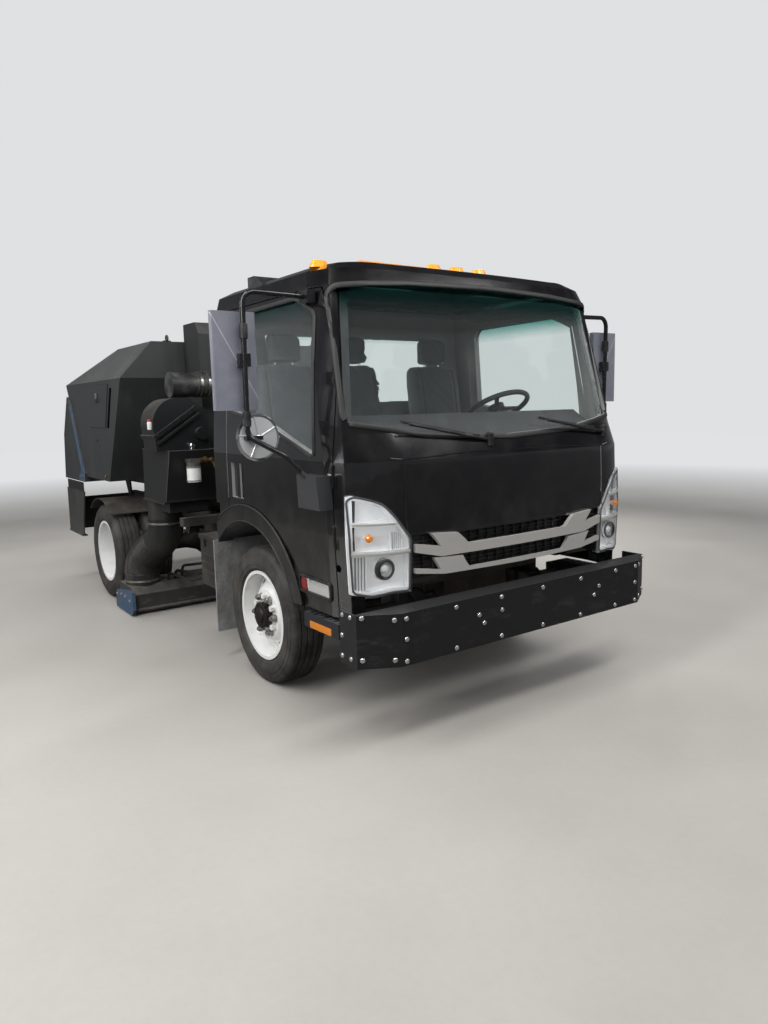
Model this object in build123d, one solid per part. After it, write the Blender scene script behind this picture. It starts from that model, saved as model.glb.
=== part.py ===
"""Street sweeper truck: a forward-control cab on a two-rail chassis, with a sweep head between
the axles, an auxiliary engine and blower behind the cab, and a tilting hopper at the rear.

Millimetres. +X is the truck's left, -Y its front, +Z up. While the pieces are made, y is measured
from the front axle; export() moves them so that the origin is at the middle of the length, on
the ground. The pieces behind the cab are drawn for a rear axle at DRAWN_AXLE, and export() moves
them with the wheelbase.
"""
from build123d import *
import os

os.makedirs("parts", exist_ok=True)

# Overall layout
WHEELBASE = 2769
DRAWN_AXLE = 2769
BACK = WHEELBASE - DRAWN_AXLE
FRONT_END = -1290
REAR_END = 4150
SHIFT = -(FRONT_END + REAR_END + BACK) / 2
CLEAR = 0.3

# Tyres and wheels, 225/70 R19.5
TYRE_R = 405
TYRE_W = 226
TYRE_SHOULDER = 34
RIM_R = 254
RIM_FLANGE_R = 264
RIM_W = 190
RIM_GAUGE = 8
FRONT_TRACK = 1666
REAR_TRACK = 1650
TWIN_SPACING = 254
FRONT_DISH = 62
HUB_BORE_R = 82
HUB_R = 74
HUB_PLATE_R = 141
NUT_CIRCLE_R = 111
WHEEL_NUTS = 6
SPINDLE_R = 30
RUNNING = 0.05

# Steering
KINGPIN_X = 735
KINGPIN_R = 20
STEER_ARM = 150

# Chassis rails
RAIL_OUT = 425
RAIL_DEEP = 180
RAIL_TOP = 790
RAIL_FLANGE = 62
RAIL_GAUGE = 8
RAIL_FRONT = -900
RAIL_REAR = 4050
FRONT_MEMBERS = (-870, 640)
REAR_MEMBERS = (1330, 2250, 3290, 4010)

# Bumper
BUMPER_LOW = 431
BUMPER_TOP = 680
BUMPER_HALF = 1045
BUMPER_FLAT = 865
BUMPER_BEND = -1190
BUMPER_RETURN = -1050
BUMPER_LEDGE = -1165
PLATE = 10

# Cab
CAB_WALL = 40
CAB_SILL = 605
FASCIA_LOW = 740
GRILLE_HALF = 676
TUNNEL_HALF = 480
TUNNEL_TOP = 900
FOOTWELL = 740
CAB_FLOOR = 1075
CAB_REAR = 400
ARCH_R = 560
ARCH_Z = 410
FLARE = 95
DOOR_GAP = 7
GLASS = 5
GLASS_INSET = 14
CAB_HINGE_Y = -960
CAB_HINGE_Z = 850
CAB_HINGE_R = 18
DOOR_FRONT = -940
DOOR_HINGE = (990, -944)
DOOR_HINGE_R = 8
DOOR_REAR = 220
DOOR_TOP = 2168

# Hopper and its hinge
HOPPER_HALF = 1060
HOPPER_TOP = 1868
HOPPER_PEAK = 2152
HOPPER_LOW = 1035
HOPPER_WALL = 8
TILT_Y = 4100
TILT_Z = 915
TILT_PIN_R = 20
GATE_HALF = 1030
GATE_HINGE = (3806, 1790)
GATE_T = 45
SKIRT_TOP = 870
SKIRT_LOW = 433

# Tilt cylinder
RAM_FOOT = (3650, 640)
RAM_EYE = (3050, 965)
RAM_R = 55
RAM_ROD_R = 30

# Sweep head
HEAD_FRONT = 1950
HEAD_REAR = 2300
HEAD_HALF = 1090
HEAD_LOW = 22
HEAD_TOP = 225
SKID_LOW = 12


def export(name, *shapes, back=0):
    """Write one node, moved so that the truck's middle is at y = 0. back moves it further back."""
    solids = [solid for shape in shapes for solid in shape.solids()]
    moved = [Pos(0, SHIFT + back, 0) * solid for solid in solids]
    whole = moved[0] if len(moved) == 1 else Compound(children=moved)
    export_step(whole, f"parts/{name}.step")


def span(x, y, z):
    """A block from its lowest and highest x, y and z."""
    centre = [(low + high) / 2 for low, high in (x, y, z)]
    return Pos(*centre) * Box(*[high - low for low, high in (x, y, z)])


def side_plate(points, x0, x1):
    """An outline of (y, z) points, as thick as x0 to x1."""
    face = Plane.YZ.offset(x0) * Polygon(*points, align=None)
    return extrude(face, amount=x1 - x0, dir=(1, 0, 0))


def front_plate(points, y0, y1):
    """An outline of (x, z) points, as thick as y0 to y1."""
    face = Plane.XZ.offset(-y1) * Polygon(*points, align=None)
    return extrude(face, amount=y1 - y0, dir=(0, -1, 0))


def level_plate(points, z0, z1):
    """An outline of (x, y) points, as thick as z0 to z1."""
    face = Plane.XY.offset(z0) * Polygon(*points, align=None)
    return extrude(face, amount=z1 - z0, dir=(0, 0, 1))


def bar(p, q, r):
    """A round bar from p to q."""
    line = Line(p, q)
    return extrude(Plane(origin=p, z_dir=line % 0) * Circle(r), amount=line.length)


def pipe(points, bend, r):
    """A round bar along straight runs joined by bends."""
    path = FilletPolyline(*points, radius=bend) if len(points) > 2 else Line(*points)
    return sweep(Plane(origin=path @ 0, z_dir=path % 0) * Circle(r), path=path)


def turned(points):
    """Turn an outline of (radius, height) points about Z."""
    return revolve(Plane.XZ * Polygon(*points, align=None), Axis.Z)


def mirrored(shape):
    return mirror(shape, Plane.YZ)


def both(shape):
    return shape + mirrored(shape)


def outward(x, way):
    """Where a wheel stands: its own Z points outboard."""
    return Pos(x, 0, TYRE_R) * Rot(0, 90 * way, 0)


# The tyres: a carcass with round side walls and a flat tread
def tyre(x, way):
    half, tread = TYRE_W / 2, TYRE_R
    bead, bulge = RIM_W / 2 - 13, (RIM_R + TYRE_R) / 2 - 10
    seat = Line((RIM_R + 1, 0, bead), (RIM_FLANGE_R + 1, 0, bead))
    side = ThreePointArc((RIM_FLANGE_R + 1, 0, bead), (bulge, 0, half), (tread - 16, 0, half - 16))
    shoulder = Line((tread - 16, 0, half - 16), (tread, 0, half - TYRE_SHOULDER))
    crown = Line((tread, 0, half - TYRE_SHOULDER), (tread, 0, TYRE_SHOULDER - half))
    edges = [seat, side, shoulder, crown] + [mirror(edge, Plane.XY) for edge in (seat, side, shoulder)]
    edges.append(Line((RIM_R + 1, 0, -bead), (RIM_R + 1, 0, bead)))
    return outward(x, way) * revolve(make_face(edges), Axis.Z)


# The wheels: a rolled rim, a dished disc with hand holes, nuts and a hub with its bore
def wheel(x, way, face, dish):
    """face is the disc's bolting face, outboard of the middle; dish is 1 where the disc is deep."""
    inner, half, back = RIM_R - RIM_GAUGE, RIM_W / 2, face - RIM_GAUGE
    body = turned([(inner, -half), (RIM_FLANGE_R, -half), (RIM_FLANGE_R, 7 - half), (RIM_R, 12 - half),
                   (RIM_R, half - 12), (RIM_FLANGE_R, half - 7), (RIM_FLANGE_R, half), (inner, half)])
    disc = turned([(HUB_BORE_R, back), (HUB_BORE_R, face), (148, face), (200, face + dish * 42),
                   (inner + 1, face + dish * 70), (inner + 1, back + dish * 70), (200, back + dish * 42),
                   (148, back)])
    holes = PolarLocations(196, WHEEL_NUTS, 30) * (Pos(0, 0, face) * Cylinder(19, 2 * half))
    nut = extrude(RegularPolygon(18, 6), amount=26)
    nuts = PolarLocations(NUT_CIRCLE_R, WHEEL_NUTS) * (Pos(0, 0, face) * nut)
    return outward(x, way) * (body + disc - holes + nuts)


def hub(x0, x1, flange):
    """A hub from x0 to x1 with a flange whose outboard face is at x = flange."""
    way = 1 if x1 > x0 else -1
    body = bar((x0, 0, TYRE_R), (x1, 0, TYRE_R), HUB_R)
    body += bar((flange - way * 24, 0, TYRE_R), (flange, 0, TYRE_R), HUB_PLATE_R)
    return body - bar((x0, 0, TYRE_R), (x0 + way * 70, 0, TYRE_R), SPINDLE_R + RUNNING)


HUB_INNER = FRONT_TRACK / 2 - 30
TWIN_FACE = TWIN_SPACING / 2
TWIN_HUB = REAR_TRACK / 2 - 95
for side, way in (("right", -1), ("left", 1)):
    x = way * FRONT_TRACK / 2
    export(f"front_tyre_{side}", tyre(x, way))
    front_hub = hub(way * HUB_INNER, x + way * (FRONT_DISH + 40), x + way * (FRONT_DISH - RIM_GAUGE))
    export(f"front_wheel_{side}", wheel(x, way, FRONT_DISH, -1) + front_hub)
    outer = way * (REAR_TRACK + TWIN_SPACING) / 2
    inner = way * (REAR_TRACK - TWIN_SPACING) / 2
    middle = way * REAR_TRACK / 2
    twin = wheel(outer, way, RIM_GAUGE - TWIN_FACE, 1) + wheel(inner, -way, RIM_GAUGE - TWIN_FACE, 1)
    twin += hub(way * TWIN_HUB, middle + way * 100, middle + way * 2)
    at_axle = Pos(0, WHEELBASE, 0)
    export(f"rear_tyres_{side}", at_axle * tyre(outer, way), at_axle * tyre(inner, way))
    export(f"rear_wheels_{side}", at_axle * twin)

# Steering knuckles: ears over and under the axle's eye, the kingpin, the spindle and its arm
EYE_R = 36
EYE_HALF = 40
EAR = 30
UPRIGHT_IN = KINGPIN_X + EYE_R + 8
UPRIGHT_OUT = HUB_INNER - 6
ear_top = EYE_HALF + 3 + EAR
knuckle = span((UPRIGHT_IN, UPRIGHT_OUT), (-44, 44), (TYRE_R - ear_top, TYRE_R + ear_top))
for low in (EYE_HALF + 3, -ear_top):
    knuckle += Pos(KINGPIN_X, 0, TYRE_R + low + EAR / 2) * Cylinder(EYE_R, EAR)
    knuckle += span((KINGPIN_X, UPRIGHT_IN), (-EYE_R, EYE_R), (TYRE_R + low, TYRE_R + low + EAR))
knuckle += Pos(KINGPIN_X, 0, TYRE_R) * Cylinder(KINGPIN_R, 2 * ear_top)
knuckle += bar((UPRIGHT_IN, 0, TYRE_R), (HUB_INNER + 66, 0, TYRE_R), SPINDLE_R)
knuckle += span((KINGPIN_X - 16, KINGPIN_X + 16), (EYE_R - 8, STEER_ARM + 16),
                (TYRE_R - ear_top, TYRE_R - ear_top + 18))
export("knuckle_left", knuckle)
export("knuckle_right", mirrored(knuckle))

# Front axle: a dropped I-beam with an eye at each end, and the seats of its springs
BEAM_Z = TYRE_R - 95
SPRING_X = 385
BEAM_HALF = [(0, BEAM_Z - 35), (500, BEAM_Z - 35), (620, TYRE_R - 60), (KINGPIN_X, TYRE_R - 34),
             (KINGPIN_X, TYRE_R + 34), (600, TYRE_R), (490, BEAM_Z + 35), (0, BEAM_Z + 35)]
beam = both(front_plate(BEAM_HALF, -34, 34))
web = span((-470, 470), (-34, -12), (BEAM_Z - 21, BEAM_Z + 21))
beam -= web + mirror(web, Plane.XZ)
for x in (-KINGPIN_X, KINGPIN_X):
    beam += Pos(x, 0, TYRE_R) * Cylinder(EYE_R, 2 * EYE_HALF)
    beam -= Pos(x, 0, TYRE_R) * Cylinder(KINGPIN_R + RUNNING, 3 * EYE_HALF)
export("front_axle", beam)

# Tie rod between the steering arms, its eyes over the arms' ends
ROD_Z = TYRE_R - ear_top - 17 - CLEAR
tie = bar((-KINGPIN_X, STEER_ARM, ROD_Z), (KINGPIN_X, STEER_ARM, ROD_Z), 14)
for x in (-KINGPIN_X, KINGPIN_X):
    tie += Pos(x, STEER_ARM, ROD_Z) * Cylinder(24, 34)
export("tie_rod", tie)

# Rear axle: a banjo case with tapering tubes and spindles
case = Pos(0, WHEELBASE, TYRE_R) * Rot(0, 90, 0) * turned(
    [(0, -760), (64, -760), (64, -330), (92, -230), (185, -120), (200, 0), (185, 120), (92, 230), (64, 330),
     (64, 760), (0, 760)])
nose = bar((0, WHEELBASE - 290, TYRE_R + 20), (0, WHEELBASE - 100, TYRE_R + 20), 75)
spindles = bar((-TWIN_HUB - 60, WHEELBASE, TYRE_R), (TWIN_HUB + 60, WHEELBASE, TYRE_R), SPINDLE_R)
PAD_TOP = TYRE_R + 74
for x in (-500, 500):
    case += span((x - 40, x + 40), (WHEELBASE - 44, WHEELBASE + 44), (TYRE_R, PAD_TOP))
case &= span((-TWIN_HUB + 6, TWIN_HUB - 6), (0, 2 * WHEELBASE), (0, 2 * TYRE_R))
export("rear_axle", case + nose + spindles)

# Leaf springs: a stack of arched leaves, an eye at each end and a clamp at the axle
def spring(y, half, x, drop, leaves, gauge, seat):
    """drop is how far the middle hangs under the eyes; seat is the height of the lowest leaf."""
    pack = None
    for leaf in range(leaves):
        reach = half * (1 - 0.8 * leaf / leaves)
        sag = drop * (reach / half) ** 2
        z = seat + (leaves - leaf) * gauge
        arc = ThreePointArc((y - reach, z + sag), (y, z), (y + reach, z + sag))
        lower = ThreePointArc((y - reach, z + sag - gauge), (y, z - gauge), (y + reach, z + sag - gauge))
        outline = [arc, lower, Line(arc @ 0, lower @ 0), Line(arc @ 1, lower @ 1)]
        solid = extrude(Plane.YZ.offset(x - 35) * make_face(outline), amount=70)
        pack = solid if pack is None else pack + solid
    top = seat + leaves * gauge
    for end in (-half, half):
        pack += Pos(x, y + end, top + drop) * Rot(0, 90, 0) * Cylinder(26, 70)
    for step in (-55, 55):
        pack += span((x - 46, x + 46), (y + step - 9, y + step + 9), (seat - gauge, top + 12))
    return pack


FRONT_SPRING_HALF = 560
REAR_SPRING_HALF = 640
REAR_SPRING_X = 500
SPRING_DROP = 62
front_spring = spring(0, FRONT_SPRING_HALF, SPRING_X, SPRING_DROP, 4, 13, BEAM_Z + 35)
rear_spring = spring(WHEELBASE, REAR_SPRING_HALF, REAR_SPRING_X, SPRING_DROP, 5, 15, PAD_TOP + CLEAR)
export("leaf_springs", both(front_spring), both(rear_spring))

# Chassis: two channels, round crossmembers, and hangers down to the springs
rail_low, rail_rear = RAIL_TOP - RAIL_DEEP, RAIL_REAR + BACK
rail = span((RAIL_OUT - RAIL_FLANGE, RAIL_OUT), (RAIL_FRONT, rail_rear), (rail_low, RAIL_TOP))
rail -= span((RAIL_OUT - RAIL_FLANGE - 1, RAIL_OUT - RAIL_GAUGE), (RAIL_FRONT - 1, rail_rear + 1),
             (rail_low + RAIL_GAUGE, RAIL_TOP - RAIL_GAUGE))
web_in = RAIL_OUT - RAIL_GAUGE - CLEAR
chassis = [rail, mirrored(rail)]
for y in FRONT_MEMBERS + tuple(y + BACK for y in REAR_MEMBERS):
    chassis.append(span((-web_in, web_in), (y - 30, y + 30), (RAIL_TOP - 120, RAIL_TOP - 60)))
front_eye = BEAM_Z + 35 + 4 * 13 + SPRING_DROP
rear_eye = PAD_TOP + CLEAR + 5 * 15 + SPRING_DROP


def hanger(eye_y, eye_z, x, top):
    """Two cheeks about a spring's eye, and the lid over them."""
    cheek_in, cheek_out = x - 35 - CLEAR - 10, x + 35 + CLEAR
    cheek = [(eye_y - 60, top), (eye_y - 30, eye_z - 35), (eye_y + 30, eye_z - 35), (eye_y + 60, top)]
    lid = span((cheek_in, cheek_out + 10), (eye_y - 60, eye_y + 60), (top - 10, top))
    return side_plate(cheek, cheek_in, cheek_in + 10) + side_plate(cheek, cheek_out, cheek_out + 10) + lid


# The front springs hang under the rails, the rear ones beside them on a plate each
for eye_y in (-FRONT_SPRING_HALF, FRONT_SPRING_HALF):
    ear = hanger(eye_y, front_eye, SPRING_X, rail_low - CLEAR)
    chassis += [ear, mirrored(ear)]
for eye_y in (WHEELBASE - REAR_SPRING_HALF, WHEELBASE + REAR_SPRING_HALF):
    ear = hanger(eye_y, rear_eye, REAR_SPRING_X, rear_eye + 44)
    ear += span((RAIL_OUT + CLEAR, REAR_SPRING_X), (eye_y - 60, eye_y + 60), (rear_eye + 34, rear_eye + 44))
    ear += span((RAIL_OUT + CLEAR, RAIL_OUT + 10), (eye_y - 60, eye_y + 60), (rear_eye, rear_eye + 90))
    chassis += [ear, mirrored(ear)]

# Front bumper: a folded plate box on two brackets
outline = [(-BUMPER_HALF, BUMPER_RETURN), (-BUMPER_HALF, BUMPER_BEND), (-BUMPER_FLAT, FRONT_END),
           (BUMPER_FLAT, FRONT_END), (BUMPER_HALF, BUMPER_BEND), (BUMPER_HALF, BUMPER_RETURN)]
inside = [(PLATE - BUMPER_HALF, BUMPER_RETURN + 1), (PLATE - BUMPER_HALF, BUMPER_BEND + 6),
          (5 - BUMPER_FLAT, FRONT_END + PLATE), (BUMPER_FLAT - 5, FRONT_END + PLATE),
          (BUMPER_HALF - PLATE, BUMPER_BEND + 6), (BUMPER_HALF - PLATE, BUMPER_RETURN + 1)]
bumper = level_plate(outline, BUMPER_LOW, BUMPER_TOP)
bumper -= level_plate(inside, BUMPER_LOW - 1, BUMPER_TOP - PLATE)
bumper_in = BUMPER_HALF - PLATE
bumper -= span((-bumper_in, bumper_in), (BUMPER_LEDGE, 0), (BUMPER_LOW - 1, BUMPER_TOP + 1))
# The brackets dip behind the plate, because the cab's grille swings down there as the cab tilts
BRACKET = [(FRONT_END + PLATE, BUMPER_TOP - PLATE), (FRONT_END + PLATE, BUMPER_LOW + 20), (-1150, 480),
           (CAB_HINGE_Y, 515), (RAIL_FRONT + 120, rail_low), (RAIL_FRONT + 120, rail_low + 30),
           (RAIL_FRONT, rail_low + 30), (CAB_HINGE_Y, 595), (-1035, 584), (-1100, 606),
           (BUMPER_LEDGE, BUMPER_TOP - PLATE)]
bracket = side_plate(BRACKET, RAIL_OUT, RAIL_OUT + 12)
export("front_bumper", bumper + both(bracket))

# The cab's skin, as sections from the sill to the roof. The front of each is an arc through its
# middle and its two shoulders, then a round corner and a straight side.
# z, y at the middle, x and y of the shoulder, x and y of the corner, half width, y of the rear
CAB_SECTIONS = (
    (CAB_SILL, -1150, 690, -1122, 962, -1032, 985, 400),
    (1005, -1166, 692, -1138, 978, -1036, 998, 405),
    (1352, -1158, 706, -1130, 976, -1020, 998, 408),
    (1480, -1092, 712, -1064, 958, -985, 992, 408),
    (2180, -940, 690, -915, 902, -820, 940, 396),
    (2258, -905, 665, -880, 880, -790, 922, 384),
    (2298, -845, 610, -822, 800, -745, 842, 340),
    (2315, -700, 480, -690, 620, -640, 650, 240),
)


def cab_section(row, inset):
    z, mid_y, sh_x, sh_y, co_x, co_y, half, rear = row
    shoulder = (sh_x - 0.4 * inset, sh_y + inset)
    corner = (co_x - inset, co_y + 0.7 * inset)
    side_x, rear_y = half - inset, rear - inset
    bulge = ((shoulder[0] + corner[0]) / 2 + 16, (shoulder[1] + corner[1]) / 2 - 22)
    front = ThreePointArc((-shoulder[0], shoulder[1]), (0, mid_y + inset), shoulder)
    round_left = ThreePointArc(shoulder, bulge, corner)
    side = Line(corner, (side_x, corner[1] + 140))
    flank = Line((side_x, corner[1] + 140), (side_x, rear_y))
    back = Line((side_x, rear_y), (-side_x, rear_y))
    flank_r = Line((-side_x, rear_y), (-side_x, corner[1] + 140))
    side_r = Line((-side_x, corner[1] + 140), (-corner[0], corner[1]))
    round_right = ThreePointArc((-corner[0], corner[1]), (-bulge[0], bulge[1]), (-shoulder[0], shoulder[1]))
    return Pos(0, 0, z) * make_face([front, round_left, side, flank, back, flank_r, side_r, round_right])


def cab_body(inset, sink=0):
    """The cab's outer form, set in by inset, its roof lowered by the same."""
    sections = [cab_section(row, inset) for row in CAB_SECTIONS[:-1]]
    roof = list(CAB_SECTIONS[-1])
    sections = [Pos(0, 0, -inset if n > 3 else 0) * s for n, s in enumerate(sections)]
    sections.append(cab_section([roof[0] - inset] + roof[1:], inset))
    if sink:
        sections[0] = Pos(0, 0, -sink) * sections[0]
    return loft(sections, ruled=True)


WINDSCREEN = [(-934, 1535), (-520, 1468), (0, 1448), (520, 1468), (934, 1535), (898, 2165), (500, 2190),
              (0, 2197), (-500, 2190), (-898, 2165)]
SIDE_WINDOW = [(-782, 1374), (-243, 1547), (150, 1600), (150, 2080), (110, 2128), (-560, 2135), (-735, 2058)]
REAR_WINDOW = [(-640, 1640), (640, 1640), (640, 2060), (-640, 2060)]


def arch(r, x0, x1):
    """The wheel arch's outline of radius r, down to the sill."""
    face = Circle(r) + Pos(0, -400) * Rectangle(2 * r, 800)
    return extrude(Plane.YZ.offset(x0) * Pos(0, ARCH_Z) * face, amount=x1 - x0)


skin = cab_body(0)
cavity = cab_body(CAB_WALL, sink=1)
shell = skin - cavity
beyond = HOPPER_HALF + 140
screen_zone = side_plate([(-1400, 1400), (-990, 1400), (-827, 2200), (-1400, 2200)], -beyond, beyond)
screen_cut = front_plate(WINDSCREEN, -1300, -700) & screen_zone
rear_cut = front_plate(REAR_WINDOW, CAB_REAR - 100, CAB_REAR + 100)
side_cut = side_plate(SIDE_WINDOW, 700, beyond)
FLARE_R = ARCH_R + FLARE


def door_plate(gap):
    """The door's outline, grown by gap at its front, top and rear, and cut away over the wheel."""
    front, top, rear = DOOR_FRONT - gap, DOOR_TOP + gap, DOOR_REAR + gap
    low = CAB_SILL - 1 - bool(gap)
    plate = side_plate([(front, low), (front, 1341), (-922 - gap, 1686), (-845 - gap, 2045), (-775 - gap, top),
                        (rear, top), (rear, low)], 700, beyond)
    return plate - arch(FLARE_R + DOOR_GAP - gap, 600, beyond)


door_outline = door_plate(0) & span((700, beyond), (-1000, 300), (0, 3000))
hole = door_plate(DOOR_GAP)
shell -= screen_cut + rear_cut + both(hole)
shell -= both(arch(ARCH_R, TUNNEL_HALF, beyond))
shell -= span((-beyond, beyond), (-1400, -1034), (CAB_SILL - 10, FASCIA_LOW))
shell -= span((-beyond, beyond), (ARCH_R - 200, 600), (0, 1045))
shell -= span((-700, 700), (300, 500), (0, 1060))
# Floor: footwells, the sides of the tunnel, wheel housings and the raised seat platform
floor = side_plate([(-1118, FOOTWELL), (-500, FOOTWELL), (-500, FOOTWELL + 30), (-1118, FOOTWELL + 30)],
                   TUNNEL_HALF, 930)
floor += span((TUNNEL_HALF, TUNNEL_HALF + 20), (-1118, -440), (FOOTWELL, TUNNEL_TOP + 20))
housing = (arch(ARCH_R + 30, TUNNEL_HALF, 950) - arch(ARCH_R, 0, beyond))
housing &= span((0, beyond), (-ARCH_R - 50, 362), (FOOTWELL, 2000))
flare = arch(FLARE_R, 905, 1004) - arch(ARCH_R, 0, beyond)
flare &= span((0, beyond), (-FLARE_R, CAB_REAR + 5), (CAB_SILL, 2000))
platform = span((TUNNEL_HALF, 950), (-300, CAB_REAR - 20), (CAB_FLOOR - 30, CAB_FLOOR))
platform -= arch(ARCH_R, 0, beyond)
flare += span((905, 960), (CAB_REAR - 60, CAB_REAR), (1045, CAB_FLOOR))
floor_side = (floor & skin) + housing + flare + platform
tunnel = span((-TUNNEL_HALF - 20, TUNNEL_HALF + 20), (-1118, -250), (TUNNEL_TOP, TUNNEL_TOP + 20))
tunnel += span((-TUNNEL_HALF - 20, TUNNEL_HALF + 20), (-270, -250), (TUNNEL_TOP, CAB_FLOOR))
tunnel += span((-TUNNEL_HALF - 20, TUNNEL_HALF + 20), (-250, CAB_REAR - 20), (CAB_FLOOR - 30, CAB_FLOOR))
tunnel &= skin
# Hinge ears under the tunnel
EAR_X = TUNNEL_HALF - 60
ear = side_plate([(CAB_HINGE_Y - 45, TUNNEL_TOP + 5), (CAB_HINGE_Y - 40, CAB_HINGE_Z - 28),
                  (CAB_HINGE_Y + 40, CAB_HINGE_Z - 28), (CAB_HINGE_Y + 45, TUNNEL_TOP + 5)], EAR_X, EAR_X + 22)
shell = shell + both(floor_side) + tunnel + both(ear)
# Headlamps: a pocket in each front corner, a unit with three cells in it, and a clear cover that
# stands proud of the skin. Outlines are (x, z) on the left lamp.
LAMP_OUT = 12
LAMP_DEEP = 36
LAMP_COVER = 3
LAMP_OUTLINE = [(1010, 1070), (1008, 1184), (996, 1199), (961, 1206), (907, 1192), (854, 1173),
                (821, 1154), (777, 1107), (729, 1040), (697, 999), (687, 986), (690, 724), (790, 729),
                (891, 716), (974, 733), (1010, 760)]
LAMP_CELLS = ([(962, 1076), (960, 1180), (907, 1172), (862, 1156), (832, 1138), (786, 1076)],
              [(964, 940), (964, 1056), (764, 1056), (716, 992), (706, 940)],
              [(960, 758), (964, 914), (706, 914), (706, 752), (790, 758), (890, 744)])
LAMP_UNIT_BACK = LAMP_DEEP - 0.5


def lamp_zone(inset=0):
    face = Polygon(*LAMP_OUTLINE, align=None)
    face = offset(face, -inset, kind=Kind.INTERSECTION) if inset else face
    return extrude(Plane.XZ.offset(1030) * face, amount=370, dir=(0, -1, 0))


lamp_skin = cab_body(-LAMP_OUT)
lamp_pocket = (lamp_skin - cab_body(LAMP_DEEP)) & lamp_zone()
lamp_cover = (lamp_skin - cab_body(LAMP_COVER - LAMP_OUT)) & lamp_zone()
lamp_cover += (lamp_skin - cab_body(LAMP_COVER)) & (lamp_zone() - lamp_zone(LAMP_COVER))
lamp_unit = (cab_body(LAMP_COVER - LAMP_OUT + 2) - cab_body(LAMP_UNIT_BACK)) & lamp_zone(LAMP_COVER + 1)
cell_zone = cab_body(-LAMP_OUT) - cab_body(26)
for cell in LAMP_CELLS:
    lamp_unit -= cell_zone & front_plate(cell, -1300, -1030)
# A projector in the lower cell, a bulb in the middle one, and fins along both
tube = bar((820, -1114, 848), (820, -1070, 848), 52) - bar((820, -1120, 848), (820, -1084, 848), 42)
tube += Pos(820, -1078, 848) * Sphere(34) & span((780, 860), (-1120, -1078), (800, 900))
bulb = Pos(896, -1080, 1000) * Sphere(15) + bar((896, -1080, 1000), (896, -1050, 1000), 8)
fins = None
for x in range(726, 790, 12):
    fin = span((x, x + 3), (-1116, -1080), (936, 1020))
    fins = fin if fins is None else fins + fin
for x in range(906, 960, 12):
    fins += span((x, x + 3), (-1085, -1030), (750, 916))
lamp_unit += (tube + bulb + fins) & (cab_body(0) - cab_body(LAMP_UNIT_BACK)) & lamp_zone(LAMP_COVER + 1)
GRILLE_TOP = [(-GRILLE_HALF, 996), (-400, 985), (400, 985), (GRILLE_HALF, 996)]
hole_low = FASCIA_LOW - 10
grille_hole = front_plate([(-GRILLE_HALF, hole_low)] + GRILLE_TOP + [(GRILLE_HALF, hole_low)], -1300, -1080)
shell -= both(lamp_pocket) + grille_hole
shell -= bar((-beyond, CAB_HINGE_Y, CAB_HINGE_Z), (beyond, CAB_HINGE_Y, CAB_HINGE_Z), CAB_HINGE_R + RUNNING)
# Door hinges: on each, the shell's knuckle is below and the door's above, on a common pin
PIN_R = 4
shell_knuckles, door_knuckles, shell_relief, door_relief = [], [], [], []
for z in (1000, 1290):
    at = Pos(*DOOR_HINGE, z)
    door_relief.append(Pos(0, 0, -30.5) * at * Cylinder(DOOR_HINGE_R + 1, 61))
    shell_relief.append(Pos(0, 0, 26) * at * Cylinder(DOOR_HINGE_R + 1, 52))
    leaf = span((960, 988), (DOOR_FRONT - 30, DOOR_FRONT - 6), (z - 60, z - CLEAR))
    leaf += Pos(0, 0, -30 - CLEAR / 2) * at * Cylinder(DOOR_HINGE_R, 60 - CLEAR)
    shell_knuckles.append(leaf + Pos(0, 0, 26) * at * Cylinder(PIN_R, 60))
    wing = span((966, 986), (DOOR_FRONT - 3, DOOR_FRONT + 16), (z, z + 46))
    wing += Pos(0, 0, 25) * at * Cylinder(DOOR_HINGE_R, 50)
    door_knuckles.append(wing - at * Cylinder(PIN_R + RUNNING, 200))
for relief, knuckle in zip(shell_relief, shell_knuckles):
    shell -= both(relief)
    shell += both(knuckle)
export("cab_shell", shell)

# The doors, cut from the same skin, each with a handle in a pocket, and the glass
handle_pocket = span((978, 1100), (17, 166), (1100, 1303))
handle = span((982, 994), (62, 104), (1098, 1305))
wall = skin - cavity
pane = cab_body(GLASS_INSET) - cab_body(GLASS_INSET + GLASS)
for side, flip in (("left", lambda shape: shape), ("right", mirrored)):
    door = (wall & flip(door_outline)) - flip(side_cut)
    for relief, knuckle in zip(door_relief, door_knuckles):
        door = door - flip(relief) + flip(knuckle)
    door = door - flip(handle_pocket) + flip(handle)
    export(f"door_{side}", door)
    export(f"door_glass_{side}", pane & flip(side_cut))
export("cab_glass", pane & screen_cut, pane & rear_cut)

# Hinge ears of the cab ride on a cross tube that the rails' front end carries
hinge_at = (CAB_HINGE_Y, CAB_HINGE_Z)
hinge_tube = bar((70 - TUNNEL_HALF, *hinge_at), (TUNNEL_HALF - 70, *hinge_at), 30)
hinge_tube += bar((30 - TUNNEL_HALF, *hinge_at), (TUNNEL_HALF - 30, *hinge_at), CAB_HINGE_R)
stay = side_plate([(RAIL_FRONT + 90, RAIL_TOP + CLEAR), (RAIL_FRONT - 10, RAIL_TOP + CLEAR),
                   (CAB_HINGE_Y - 24, CAB_HINGE_Z - 24), (CAB_HINGE_Y - 24, CAB_HINGE_Z + 20),
                   (CAB_HINGE_Y + 24, CAB_HINGE_Z + 24)], RAIL_OUT - 70, RAIL_OUT - 40)
hinge = hinge_tube + both(stay)


export("headlamps", lamp_cover, mirrored(lamp_cover))
export("headlamp_units", lamp_unit, mirrored(lamp_unit))

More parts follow.
